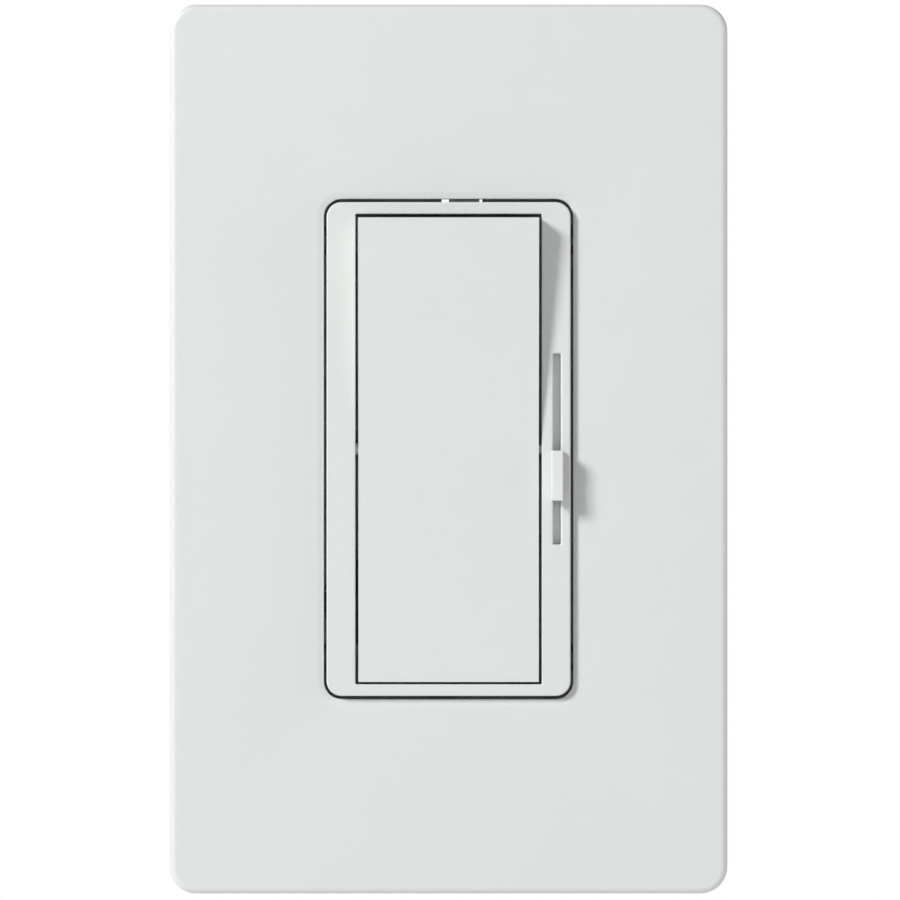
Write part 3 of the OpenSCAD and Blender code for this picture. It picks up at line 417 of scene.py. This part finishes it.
build = bmesh.new()
for side in (-1, 1):
    box_cutter(build,
               (side * channel_x_mm - channel_mm / 2, bezel_front_mm + face_mm, 1 - bezel_height_mm / 2),
               (side * channel_x_mm + channel_mm / 2, strap_front_mm + 1, bezel_height_mm / 2 - 1))
box_cutter(build, (-bezel_width_mm / 2 - 1, dial_low.y - window_front_mm, dial_axis.z - window_half_mm),
           (1 - well_mm[0] / 2, strap_front_mm + 1, dial_axis.z + window_half_mm))
clip_low, clip_high = size_of("bezel_clip")
box_cutter(build, clip_low - Vector((clip_room_mm,) * 3),
           (clip_high.x + clip_room_mm, clip_low.y + clip_hook_mm + clip_room_mm, bezel_height_mm / 2 + 1))
bmesh.ops.create_cone(build, cap_ends=True, segments=32, radius1=bearing_r_mm, radius2=bearing_r_mm,
                      depth=2 * channel_x_mm,
                      matrix=Matrix.Translation(paddle_pivot) @ Matrix.Rotation(math.pi / 2, 4, "Y"))
cut_away(bezel, build)
# the slider's slot, whose mouth flares in a soft curve
build = bmesh.new()
slot_rings = [(slot_mm[0] + 2 * out, slot_mm[1] + 2 * out, slot_corner_mm + out, bezel_front_mm + down)
              for out, down in ((0.30, -0.10), (0.20, 0.005), (0.12, 0.03), (0.06, 0.075), (0.02, 0.14),
                                (0, 0.22), (0, face_mm + 0.2))]
loft(build, slot_rings, steps=4)
bmesh.ops.translate(build, vec=(channel_x_mm, 0, 0), verts=build.verts)
cut_away(bezel, build)
smooth_by_angle(bezel, 32)
stand_in(bezel, "bezel")


# --- Paddle: one moulded rocker with a shallow crease at mid height, a hollow stem behind
# and a boss on each side that turns in the bezel ---

# The same fine satin as the bezel, from a mould of its own, so that its mottling differs
paddle_white = moulded_plastic("paddle_white_polycarbonate", "#dde0de", 0.22, 0.003, 0.40)
broken_edges("paddle", "rocker_paddle", 0.32, paddle_white, segments=4, degrees=50, least_mm=10)


# --- Slider: a knob moulded in acetal for the finger, whose tongue passes through the slot, and a
# shutter strip behind it that fills the slot as both slide ---

# Acetal from a polished mould: smoother and a little glossier than the frame round it
gloss_white = moulded_plastic("gloss_white_acetal", "#e2e4e3", 0.4, 0.001, 0.34)
knob_height = knob_high.z - knob_low.z
knob_width = knob_high.x - knob_low.x
knob_middle = (knob_low + knob_high) / 2
knob_float_mm, knob_corner_mm, knob_edge_mm = 0.1, 0.2, 0.19
tongue_half_mm, tongue_half_height_mm = 0.4, 2.15
knob_back = bezel_front_mm - knob_float_mm
build = bmesh.new()
rings = [(knob_width - 0.1, knob_height - 0.1, knob_corner_mm - 0.03, knob_back),
         (knob_width, knob_height, knob_corner_mm, knob_back - 0.08)]
rings += edge_round(knob_width, knob_height, knob_corner_mm, 0, knob_low.y, knob_edge_mm, steps=5)
loft(build, rings, steps=8)
box_cutter(build, (-tongue_half_mm, knob_back - 0.1, -tongue_half_height_mm),
           (tongue_half_mm, knob_high.y, tongue_half_height_mm))
bmesh.ops.translate(build, vec=(knob_middle.x, 0, knob_middle.z), verts=build.verts)
knob = link_mesh("slide_knob", build, gloss_white)
smooth_by_angle(knob)
stand_in(knob, "slider_knob")

# A plain matt strip, which only has to look light in the depth of the slot: its white is painted lighter than
# the frame's, as painted light standing in for the light that the white plastic scatters down into the slot
shutter_painted_lighter = moulded_plastic("acetal_shutter_with_painted_light", "#f4f5f4", 0.4, 0.002, 0.45)
finish(shutter_painted_lighter, "slider_shutter")


# --- Plunger: a spring in the paddle's hollow stem presses a nylon pin on the seesaw, which
# gives the rocker its snap ---
def worked_metal(name, hex_colour, dull_hex, roughness, along, streak_mm, streak_depth_mm=0.002,
                 bloom_mm=4):
    """Metal as a press, lathe or plating bath leaves it: fine streaks along one axis, and a dull bloom."""
    material, tree = new_material(name)
    place = add(tree, "ShaderNodeTexCoord").outputs["Object"]
    stretch = [1 / (streak_mm * MM)] * 3
    stretch["XYZ".index(along)] /= 24
    streaks = add(tree, "ShaderNodeTexNoise", {
        "Vector": add(tree, "ShaderNodeMapping", {"Vector": place, "Scale": stretch}).outputs[0],
        "Scale": 1.0, "Detail": 4.0})
    bloom = add(tree, "ShaderNodeTexNoise", {
        "Vector": place, "Scale": 1 / (bloom_mm * MM), "Detail": 5.0, "Roughness": 0.6})
    dulled = add(tree, "ShaderNodeMapRange", {
        "Value": bloom.outputs["Fac"], "From Min": 0.42, "From Max": 0.68, "To Max": 0.7})
    colour = add(tree, "ShaderNodeMix", {0: dulled.outputs[0], 6: linear(hex_colour), 7: linear(dull_hex)},
                 data_type="RGBA")
    wear = add(tree, "ShaderNodeMath", {0: streaks.outputs["Fac"], 1: bloom.outputs["Fac"]}, operation="ADD")
    rough = add(tree, "ShaderNodeMapRange", {
        "Value": wear.outputs[0], "From Min": 0.6, "From Max": 1.4,
        "To Min": roughness - 0.09, "To Max": roughness + 0.12})
    bump = add(tree, "ShaderNodeBump", {
        "Height": streaks.outputs["Fac"], "Strength": 1.0, "Distance": streak_depth_mm * MM})
    shader = add(tree, "ShaderNodeBsdfPrincipled", {
        "Base Color": colour.outputs[2], "Metallic": 1.0, "Roughness": rough.outputs[0],
        "Normal": bump.outputs[0]})
    add(tree, "ShaderNodeOutputMaterial", {"Surface": shader.outputs[0]})
    return material


# Drawn spring steel: bright, with fine lines the way it was drawn
spring_steel = worked_metal("drawn_spring_steel", "#c3c6cb", "#8f9296", 0.32, "Y", 0.08)
# Unfilled nylon: ivory, and light soaks a little way into it
nylon = moulded_plastic("natural_nylon", "#e6e1d2", 0.3, 0.003, 0.38, mottle=0.03, ior=1.53)
soak = nylon.node_tree.nodes["Principled BSDF"].inputs
soak["Subsurface Weight"].default_value = 0.25
soak["Subsurface Scale"].default_value = 0.6 * MM
finish(spring_steel, "plunger_spring", "bezel_clip")
finish(nylon, "detent_plunger")


# --- Slide potentiometer: a folded tinned-steel case holds a resin track board, and a dark
# nylon lever carries the wiper and the shutter ---

# Hot-tinned sheet: greyer and softer in its shine than zinc
tinned_steel = worked_metal("folded_tinned_steel", "#c9ccce", "#9b9c9a", 0.36, "Z", 0.12)
# Glass-filled nylon: charcoal, with the filler showing as a coarse grain
dark_nylon = moulded_plastic("dark_filled_nylon", "#37383b", 0.25, 0.006, 0.48, mottle=0.08)
# Resin-bonded paper with a printed carbon track: dark brown and half matt
carbon_track = moulded_plastic("phenolic_board_with_carbon_track", "#4c3c2c", 0.4, 0.004, 0.5, mottle=0.12)
broken_edges("slide_pot_body", "slide_pot_case", 0.15, tinned_steel)
broken_edges("slide_pot_lever", "slide_pot_wiper_lever", 0.12, dark_nylon)
finish(carbon_track, "slide_pot_element")


# --- Trim dial: a dark grey moulded thumbwheel with grip notches round its rim, turned from
# the bezel's side. Its shaft drops through the yoke into a small blue potentiometer ---

# Acetal coloured in the mass: an even mid grey with a slight sheen
trim_grey = moulded_plastic("dark_grey_acetal", "#6a6b6e", 0.25, 0.004, 0.42, mottle=0.05)
# Filled polyester: a flat strong blue
pot_blue = moulded_plastic("blue_polyester_case", "#2c5ca4", 0.3, 0.006, 0.4, mottle=0.06)
broken_edges("trim_dial", "trim_thumbwheel", 0.14, trim_grey, segments=2, degrees=40)
broken_edges("trim_pot_body", "trim_pot_case", 0.3, pot_blue, segments=3)


# --- Yoke: blanked and pierced from 1.5 mm aluminium sheet. The strap takes the mounting screws
# and the side fins spread the heat; its edges are rolled over by the punch ---

# Mill-finish aluminium: pale, cloudy, with rolling lines up and down the strap
yoke_aluminium = worked_metal("blanked_aluminium_sheet", "#c4c6c7", "#a7a9aa", 0.34, "Z", 0.16, 0.003)
broken_edges("yoke", "yoke_strap_and_fins", 0.16, yoke_aluminium)


# --- Machine screws: cold headed steel with rolled threads, zinc plated, except the green earth
# screw and the blackened line screw. Each kind is one piece for each body ---
def interface(tree, **inputs):
    """Declares a tree's inputs and its geometry output, and gives back the input sockets' identifiers."""
    made = {label: tree.interface.new_socket(label.replace("_", " "), in_out="INPUT", socket_type=kind)
            for label, kind in inputs.items()}
    tree.interface.new_socket("Geometry", in_out="OUTPUT", socket_type="NodeSocketGeometry")
    return {label: socket.identifier for label, socket in made.items()}


def calculated(tree, first, *steps):
    """A chain of Math nodes. Each step is an operation and its second value, if it takes one."""
    value = first
    for operation, *rest in steps:
        inputs = {0: value}
        inputs.update({i + 1: item for i, item in enumerate(rest)})
        value = add(tree, "ShaderNodeMath", inputs, operation=operation).outputs[0]
    return value


thread_tree = bpy.data.node_groups.new("rolled_thread", "GeometryNodeTree")
thread_inputs = interface(
    thread_tree, Radius="NodeSocketFloat", Depth="NodeSocketFloat", Pitch="NodeSocketFloat",
    Turns="NodeSocketInt", Length="NodeSocketFloat", Place="NodeSocketVector", Turn="NodeSocketVector",
    Material="NodeSocketMaterial")
rows_per_turn, columns, flank_steepness = 8, 32, 2.6
given = add(thread_tree, "NodeGroupInput").outputs
turns = calculated(thread_tree, given["Turns"], ("ADD", 3.0))
rows = calculated(thread_tree, turns, ("MULTIPLY", rows_per_turn), ("ADD", 1.0))
sheet = add(thread_tree, "GeometryNodeMeshGrid", {
    "Size X": 1.0, "Size Y": 1.0, "Vertices X": columns + 1, "Vertices Y": rows})
spot = add(thread_tree, "GeometryNodeInputPosition").outputs[0]
where = add(thread_tree, "ShaderNodeSeparateXYZ", {0: spot})
across = calculated(thread_tree, where.outputs["X"], ("ADD", 0.5))
row = calculated(thread_tree, where.outputs["Y"], ("ADD", 0.5), ("MULTIPLY", turns))
height = calculated(thread_tree, row, ("ADD", across), ("SUBTRACT", 2.0), ("MULTIPLY", given["Pitch"]))
flank = calculated(thread_tree, row, ("ADD", 0.001), ("FRACT",), ("SUBTRACT", 0.5), ("ABSOLUTE",),
                   ("MULTIPLY", flank_steepness), ("MINIMUM", 1.0), ("MULTIPLY", given["Depth"]))
past_end = calculated(thread_tree, height, ("SUBTRACT", given["Length"]), ("MAXIMUM", 0.0),
                      ("DIVIDE", given["Pitch"]), ("MINIMUM", 1.0))
before_start = calculated(thread_tree, height, ("MULTIPLY", -1.0), ("MAXIMUM", 0.0),
                          ("DIVIDE", given["Pitch"]), ("MINIMUM", 1.0))
point = calculated(thread_tree, height, ("SUBTRACT", given["Length"]), ("ADD", given["Depth"]),
                   ("ADD", given["Depth"]), ("MAXIMUM", 0.0), ("MINIMUM", given["Depth"]))
crest = calculated(thread_tree, given["Radius"], ("SUBTRACT", point))
closed = calculated(thread_tree, 1.0, ("SUBTRACT", past_end), ("SUBTRACT", before_start))
radius = calculated(thread_tree, given["Radius"], ("SUBTRACT", flank), ("MINIMUM", crest),
                    ("MULTIPLY", closed))
angle = calculated(thread_tree, across, ("MULTIPLY", math.tau))
flat_height = calculated(thread_tree, height, ("MAXIMUM", 0.0), ("MINIMUM", given["Length"]))
wound = add(thread_tree, "ShaderNodeCombineXYZ", {
    "X": calculated(thread_tree, angle, ("COSINE",), ("MULTIPLY", radius)),
    "Y": calculated(thread_tree, angle, ("SINE",), ("MULTIPLY", radius)), "Z": flat_height})
moved = add(thread_tree, "GeometryNodeSetPosition", {
    "Geometry": sheet.outputs["Mesh"], "Position": wound.outputs[0]})
welded = add(thread_tree, "GeometryNodeMergeByDistance", {
    "Geometry": moved.outputs[0], "Distance": 0.0008 * MM})
placed = add(thread_tree, "GeometryNodeTransform", {
    "Geometry": welded.outputs[0], "Translation": given["Place"], "Rotation": given["Turn"]})
plain = add(thread_tree, "GeometryNodeRealizeInstances", {"Geometry": placed.outputs[0]})
coated = add(thread_tree, "GeometryNodeSetMaterial", {
    "Geometry": plain.outputs[0], "Material": given["Material"]})
add(thread_tree, "NodeGroupOutput", {"Geometry": coated.outputs[0]})


def grown(name, tree, values):
    """Runs a Geometry Nodes tree on an empty mesh and keeps the result as a plain mesh."""
    made = bpy.data.objects.new(name, bpy.data.meshes.new(name))
    scene.collection.objects.link(made)
    modifier = made.modifiers.new(name, "NODES")
    modifier.node_group = tree
    for identifier, value in values.items():
        modifier[identifier] = value
    mesh = bpy.data.meshes.new_from_object(made.evaluated_get(bpy.context.evaluated_depsgraph_get()))
    made.modifiers.clear()
    made.data = mesh
    return made


def rolled_thread(name, radius_mm, depth_mm, pitch_mm, length_mm, place, turn, material):
    """A threaded shank that starts at place and runs along its own turned Z."""
    values = dict(Radius=radius_mm * MM, Depth=depth_mm * MM, Pitch=pitch_mm * MM,
                  Turns=math.ceil(length_mm / pitch_mm), Length=length_mm * MM, Place=place, Turn=turn,
                  Material=material)
    return grown(name, thread_tree, {thread_inputs[label]: value for label, value in values.items()})


def turned(profile, segments=40):
    """A closed lathe form about Z, in mm, from (radius, height) points that start and end on the axis."""
    build = bmesh.new()
    rings = []
    for r, z in profile:
        turns = [math.tau * i / segments for i in range(segments if r > 0 else 1)]
        rings.append([build.verts.new((r * math.cos(turn), r * math.sin(turn), z)) for turn in turns])
    for near, far in zip(rings, rings[1:]):
        for i in range(segments):
            j = i + 1
            corners = [near[i % len(near)], near[j % len(near)], far[j % len(far)], far[i % len(far)]]
            build.faces.new(list(dict.fromkeys(corners)))
    bmesh.ops.recalc_face_normals(build, faces=build.faces)
    return build


def head_profile(style, radius, height):
    """Head outlines, with the head's face at 0 and the shank at +height."""
    if style == "countersunk":
        return [(0, 0), (radius * 0.93, 0), (radius * 0.985, 0.06), (radius, 0.18),
                (radius * 0.5, height), (0, height)]
    crown = [(radius * math.sin(t), height * 0.62 * (1 - math.cos(t)) ** 1.3)
             for t in (math.pi / 2 * i / 7 for i in range(8))]
    return crown + [(radius, height - 0.14), (radius - 0.14, height), (0, height)]


def recess_cutter(style, radius, height):
    """A driver recess: a tapered cross or a straight slot."""
    build = bmesh.new()
    half_slot_mm, slot_share = 0.45, 0.48
    if style == "slot":
        box_cutter(build, (-radius * 1.1, -half_slot_mm, -1),
                   (radius * 1.1, half_slot_mm, height * slot_share))
        return build
    for turn in (0, 90):
        arm = bmesh.ops.create_cube(build, size=1.0)["verts"]
        for vert in arm:
            deep = vert.co.z > 0
            vert.co = Vector((vert.co.x * radius * (0.55 if deep else 1.12), vert.co.y * radius * 0.3,
                              radius * 0.52 if deep else -0.3))
        bmesh.ops.rotate(build, verts=arm, matrix=Matrix.Rotation(math.radians(turn), 3, "Z"))
    return build


def screws(name, node, material, facing, head_mm, head_style, recess, thread):
    """All screws of one node. Their heads look facing; thread is radius, depth and pitch in mm."""
    bury_mm = 0.15
    low, high = size_of(node)
    out = Vector(facing)
    radius, height = head_mm
    # along each axis the node's box holds one screw in its middle, or one at either end
    centres = [[]]
    for axis in range(3):
        half = (high[axis] - low[axis]) / 2
        middle = (high[axis] + low[axis]) / 2
        if abs(out[axis]) > 0.5:
            spots = [high[axis] if out[axis] > 0 else low[axis]]
        else:
            spots = [middle] if half < radius * 1.2 else [middle - half + radius, middle + half - radius]
        centres = [old + [spot] for old in centres for spot in spots]
    along = max(range(3), key=lambda axis: abs(out[axis]))
    shank_mm = high[along] - low[along] - height
    frame_turn = (-out).to_track_quat("Z", "Y")
    pieces = []
    for i, centre in enumerate(centres):
        head = link_mesh(f"{name}_head_{i}", turned(head_profile(head_style, radius, height)), material)
        cut_away(head, recess_cutter(recess, radius, height))
        head.data.transform(Matrix.Translation(Vector(centre) * MM) @ frame_turn.to_matrix().to_4x4())
        root = Vector(centre) - out * (height - bury_mm)
        shank = rolled_thread(f"{name}_shank_{i}", *thread, shank_mm + bury_mm, root * MM,
                              frame_turn.to_euler(), material)
        pieces += [head, shank]
    build = bmesh.new()
    for piece in pieces:
        build.from_mesh(piece.data)
        bpy.data.objects.remove(piece)
    bmesh.ops.scale(build, vec=(1 / MM, 1 / MM, 1 / MM), verts=build.verts)
    made = link_mesh(name, build, material)
    smooth_by_angle(made, 38)
    stand_in(made, node)


# Zinc plate over steel: bright and slightly blue, with fine streaks and duller patches
zinc_steel = worked_metal("zinc_plated_steel", "#c8cacb", "#9d9f9c", 0.28, "Y", 0.09)
# Dyed zinc plate: the green that marks earth
green_steel = worked_metal("green_dyed_steel", "#2f8a4a", "#256b3b", 0.34, "Z", 0.1)
# Oil-blackened steel: dark, with a soft shine
black_steel = worked_metal("blackened_steel", "#2f2f32", "#454549", 0.4, "Z", 0.1)
# Rolled brass: warm yellow, browner where it has dulled
brass = worked_metal("rolled_brass", "#d2ab5e", "#a98544", 0.3, "Z", 0.12)
coarse_thread, fine_thread = (1.72, 0.3, 0.79), (1.23, 0.24, 0.6)
terminal_head = ((3.3, 2.2), "pan", "slot", coarse_thread)
screws("adapter_machine_screws", "adapter_screws", zinc_steel, (0, -1, 0),
       (3.35, 1.6), "countersunk", "cross", coarse_thread)
screws("wall_box_screws", "mounting_screws", zinc_steel, (0, -1, 0), (3.3, 2.1), "pan", "cross",
       (1.74, 0.36, 0.79))
screws("earth_screw", "ground_screw", green_steel, (0, 1, 0), (2.9, 2.2), "pan", "slot", coarse_thread)
screws("housing_machine_screws", "housing_screws", zinc_steel, (0, -1, 0),
       (2.35, 1.1), "countersunk", "cross", fine_thread)
screws("line_screw", "line_terminal_screw", black_steel, (-1, 0, 0), *terminal_head)
screws("traveler_screws", "traveler_terminal_screws", brass, (1, 0, 0), *terminal_head)


# --- Retainers and insulators: die-cut vulcanised fibre, pressed on the screws so that they
# don't drop out, and laid between the yoke and the live parts ---
def cut_sheet(name, hex_colour, fibre_hex, fibre_mm, roughness):
    """Die-cut fibre: felted, and darker where the fibres lie thick."""
    material, tree = new_material(name)
    place = add(tree, "ShaderNodeTexCoord").outputs["Object"]
    fibres = add(tree, "ShaderNodeTexNoise", {
        "Vector": place, "Scale": 1 / (fibre_mm * MM), "Detail": 6.0, "Roughness": 0.65, "Distortion": 1.5})
    colour = add(tree, "ShaderNodeMix", {
        0: fibres.outputs["Fac"], 6: linear(hex_colour), 7: linear(fibre_hex)}, data_type="RGBA")
    rough = add(tree, "ShaderNodeMapRange", {
        "Value": fibres.outputs["Fac"], "To Min": roughness - 0.08, "To Max": roughness + 0.12})
    bump = add(tree, "ShaderNodeBump", {
        "Height": fibres.outputs["Fac"], "Strength": 1.0, "Distance": 0.02 * MM})
    shader = add(tree, "ShaderNodeBsdfPrincipled", {
        "Base Color": colour.outputs[2], "Roughness": rough.outputs[0], "Normal": bump.outputs[0]})
    add(tree, "ShaderNodeOutputMaterial", {"Surface": shader.outputs[0]})
    return material


# Vulcanised fibre: brick red, hard and dull
red_fibre = cut_sheet("vulcanised_red_fibre", "#a4553f", "#7d3a2c", 0.8, 0.62)
# Fish paper: grey-brown card with long fibres
fish_paper = cut_sheet("grey_fish_paper", "#8b7c60", "#6f6249", 1.2, 0.7)
finish(red_fibre, "screw_retainers")
finish(fish_paper, "insulator_sheet")


# --- Back housing: compression moulded in black phenolic, with a pocket for each terminal. The
# mould leaves a light texture on it, and its edges are tumbled ---

# Filled phenolic: nearly black, with cloudy flow marks and a half matt skin
black_phenolic = moulded_plastic(
    "black_moulded_phenolic", "#242528", 0.35, 0.014, 0.42, mottle=0.16, flow_mm=9)
broken_edges("back_housing", "housing_shell", 0.4, black_phenolic, segments=3)


# --- Circuit board: glass-epoxy laminate under green solder mask, which the housing's ribs hold
# behind the strap. The lamp current runs in broad copper areas: a darker, slightly raised green ---

# Solder mask: glossy green lacquer. The glass threads under it are drawn coarser than they are, so
# that they show
thread_mm, copper_mm = 0.9, 5
solder_mask, tree = new_material("green_solder_mask_on_glass_epoxy")
place = add(tree, "ShaderNodeTexCoord").outputs["Object"]
threads = [
    add(tree, "ShaderNodeTexWave", {"Vector": place, "Scale": 1 / (thread_mm * MM) / 6, "Distortion": 0.6},
        bands_direction=direction).outputs["Fac"] for direction in ("X", "Z")]
weave = add(tree, "ShaderNodeMath", {0: threads[0], 1: threads[1]}, operation="MULTIPLY")
areas = add(tree, "ShaderNodeTexVoronoi", {"Vector": place, "Scale": 1 / (copper_mm * MM)},
            distance="CHEBYCHEV")
copper = add(tree, "ShaderNodeMapRange", {
    "Value": areas.outputs["Distance"], "From Min": 0.48, "From Max": 0.52, "To Min": 0.0, "To Max": 1.0})
tone = add(tree, "ShaderNodeMix", {
    0: copper.outputs[0], 6: linear("#2f5f37"), 7: linear("#24502c")}, data_type="RGBA")
woven = add(tree, "ShaderNodeMix", {
    0: weave.outputs[0], 6: tone.outputs[2], 7: linear("#3b6f42")}, data_type="RGBA")
relief = add(tree, "ShaderNodeBump", {"Height": copper.outputs[0], "Strength": 1.0, "Distance": 0.03 * MM})
sheen = add(tree, "ShaderNodeMapRange", {"Value": weave.outputs[0], "To Min": 0.28, "To Max": 0.4})
shader = add(tree, "ShaderNodeBsdfPrincipled", {
    "Base Color": woven.outputs[2], "Roughness": sheen.outputs[0], "Normal": relief.outputs[0]})
add(tree, "ShaderNodeOutputMaterial", {"Surface": shader.outputs[0]})
finish(solder_mask, "circuit_board")


# --- Triac: the switching element in a black epoxy package. A rivet holds it to the yoke, which
# takes its heat through a soft grey pad ---

# Transfer-moulded epoxy: flat black with a very fine grain
black_epoxy = moulded_plastic("black_transfer_moulded_epoxy", "#26262a", 0.12, 0.006, 0.55, mottle=0.1)
# Filled silicone: pale grey and quite matt
thermal_pad = moulded_plastic("grey_silicone_pad", "#b9bec9", 0.5, 0.01, 0.66, mottle=0.05)
# Headed aluminium: softly bright, marked by the riveting tool
rivet_aluminium = worked_metal("headed_aluminium", "#bfc1c3", "#9fa1a3", 0.33, "Y", 0.1)
broken_edges("triac", "triac_package", 0.15, black_epoxy)
finish(thermal_pad, "triac_pad")
broken_edges("triac_rivet", "triac_pop_rivet", 0.2, rivet_aluminium, segments=3)


# --- Choke: enamelled copper wire wound in close turns on a ferrite drum. It softens the switching
# edges that would make a lamp buzz ---

# Sintered ferrite: charcoal grey, dry and slightly pitted
ferrite = moulded_plastic("sintered_ferrite", "#3c3c3f", 0.15, 0.02, 0.6, mottle=0.15, flow_mm=3)
finish(ferrite, "choke_core")

# Drawn copper under amber enamel: reddish metal with a clear glossy coat
enamel_copper, tree = new_material("enamelled_copper_wire")
place = add(tree, "ShaderNodeTexCoord").outputs["Object"]
drawn = add(tree, "ShaderNodeTexNoise", {"Vector": place, "Scale": 1 / (0.7 * MM), "Detail": 3.0})
colour = add(tree, "ShaderNodeMix", {0: drawn.outputs["Fac"], 6: linear("#9c4a22"), 7: linear("#c67a3e")},
             data_type="RGBA")
rough = add(tree, "ShaderNodeMapRange", {"Value": drawn.outputs["Fac"], "To Min": 0.3, "To Max": 0.42})
shader = add(tree, "ShaderNodeBsdfPrincipled", {
    "Base Color": colour.outputs[2], "Metallic": 1.0, "Roughness": rough.outputs[0],
    "Coat Weight": 0.8, "Coat Roughness": 0.12})
add(tree, "ShaderNodeOutputMaterial", {"Surface": shader.outputs[0]})

winding_tree = bpy.data.node_groups.new("close_turns", "GeometryNodeTree")
winding_inputs = interface(
    winding_tree, Radius="NodeSocketFloat", Wire_Radius="NodeSocketFloat", Turns="NodeSocketFloat",
    Length="NodeSocketFloat", Place="NodeSocketVector", Turn="NodeSocketVector",
    Material="NodeSocketMaterial")
given = add(winding_tree, "NodeGroupInput").outputs
path = add(winding_tree, "GeometryNodeCurveSpiral", {
    "Resolution": 28, "Rotations": given["Turns"], "Start Radius": given["Radius"],
    "End Radius": given["Radius"], "Height": given["Length"]})
wire = add(winding_tree, "GeometryNodeCurvePrimitiveCircle", {
    "Resolution": 10, "Radius": given["Wire Radius"]})
swept = add(winding_tree, "GeometryNodeCurveToMesh", {
    "Curve": path.outputs[0], "Profile Curve": wire.outputs[0], "Fill Caps": True})
placed = add(winding_tree, "GeometryNodeTransform", {
    "Geometry": swept.outputs[0], "Translation": given["Place"], "Rotation": given["Turn"]})
plain = add(winding_tree, "GeometryNodeRealizeInstances", {"Geometry": placed.outputs[0]})
coated = add(winding_tree, "GeometryNodeSetMaterial", {
    "Geometry": plain.outputs[0], "Material": given["Material"]})
add(winding_tree, "NodeGroupOutput", {"Geometry": coated.outputs[0]})

low, high = size_of("choke_winding")
wire_mm = 0.45
coil_mm = (high.y - low.y) / 2 - wire_mm
coil_length = high.x - low.x - 2 * wire_mm
coil_place = Vector((low.x + wire_mm, (low.y + high.y) / 2, (low.z + high.z) / 2))
coil_values = dict(
    Radius=coil_mm * MM, Wire_Radius=wire_mm * MM, Turns=coil_length / (2 * wire_mm),
    Length=coil_length * MM, Place=coil_place * MM,
    Turn=Vector((0, 0, 1)).rotation_difference(Vector((1, 0, 0))).to_euler(),
    Material=enamel_copper)
winding = grown("choke_wire_turns", winding_tree,
                {winding_inputs[label]: value for label, value in coil_values.items()})
under_mm = coil_mm - wire_mm / 2
build = turned([(0, 0), (under_mm, 0), (under_mm, coil_length), (0, coil_length)], segments=36)
bmesh.ops.transform(build, matrix=Matrix.Translation(coil_place) @ Matrix.Rotation(math.pi / 2, 4, "Y"),
                    verts=build.verts)
inner_turns = link_mesh("inner_turns", build, enamel_copper)
build = bmesh.new()
build.from_mesh(winding.data)
build.from_mesh(inner_turns.data)
build.to_mesh(winding.data)
build.free()
bpy.data.objects.remove(inner_turns)
smooth_by_angle(winding, 50)
stand_in(winding, "choke_winding")


# --- Capacitors and varistor: a yellow boxed film capacitor, a sleeved timing capacitor and a
# blue dipped disc, each stood on the board ---

# Potted polyester box: mustard yellow with a soft gloss
yellow_case = moulded_plastic("yellow_polyester_case", "#c8b03a", 0.3, 0.006, 0.36, mottle=0.05)
# Shrunk PVC sleeve: dark blue, glossy and slightly rippled
blue_sleeve = moulded_plastic("blue_shrunk_pvc_sleeve", "#25386a", 0.6, 0.01, 0.3, mottle=0.08)
# Dipped epoxy: a glossy blue skin with the unevenness of a dried drip
dipped_blue = moulded_plastic("blue_dipped_epoxy", "#2a6ba0", 0.9, 0.03, 0.28, mottle=0.1)
broken_edges("film_capacitor", "boxed_capacitor", 0.5, yellow_case, segments=4)
broken_edges("timing_capacitor", "sleeved_capacitor", 0.4, blue_sleeve, segments=4)
broken_edges("varistor", "dipped_varistor", 0.6, dipped_blue, segments=5)


# --- Axial parts: lacquered resistors, the glass-bodied diac and the crimped thermal fuse, with
# their leads bent down into the board ---

# Lacquer over ceramic: beige, smooth, a little uneven
beige_lacquer = moulded_plastic("beige_lacquered_ceramic", "#cbb489", 0.4, 0.01, 0.34, mottle=0.06)
# Glass over its orange lining: the shiniest thing on the board
orange_glass = moulded_plastic("orange_glass_body", "#bf5430", 0.5, 0.004, 0.16, mottle=0.08, ior=1.52)
broken_edges("resistors", "lacquered_resistors", 0.35, beige_lacquer, segments=3)
broken_edges("diac", "glass_diac", 0.3, orange_glass, segments=3)
broken_edges("thermal_fuse", "crimped_thermal_fuse", 0.3, tinned_steel, segments=3)


# --- Switch: silver contacts riveted on a rocking brass seesaw, which stands in a brass cradle on
# the floor of a dark moulded tray and lands on one fixed contact or the other ---

# Fine silver: very pale and warm, greyed where it has tarnished
silver = worked_metal("fine_silver", "#d8d6d0", "#a8a49c", 0.3, "Y", 0.1)
broken_edges("switch_base", "switch_tray", 0.2, dark_nylon)
broken_edges("contact_seesaw", "brass_seesaw", 0.12, brass)
broken_edges("seesaw_contacts", "moving_contacts", 0.3, silver, segments=4)
broken_edges("fixed_contacts", "fixed_silver_contacts", 0.15, silver, segments=4)
broken_edges("seesaw_cradle", "brass_cradle", 0.12, brass)


# --- Terminals: brass strips from the switch and the board out to the pockets, each with a
# plated clamp that a screw draws onto the wire ---
broken_edges("traveler_terminal_upper", "upper_traveler_strip", 0.12, brass)
broken_edges("traveler_terminal_lower", "lower_traveler_strip", 0.12, brass)
broken_edges("line_terminal", "line_strip", 0.12, brass)
broken_edges("terminal_clamps", "plated_clamps", 0.15, zinc_steel)
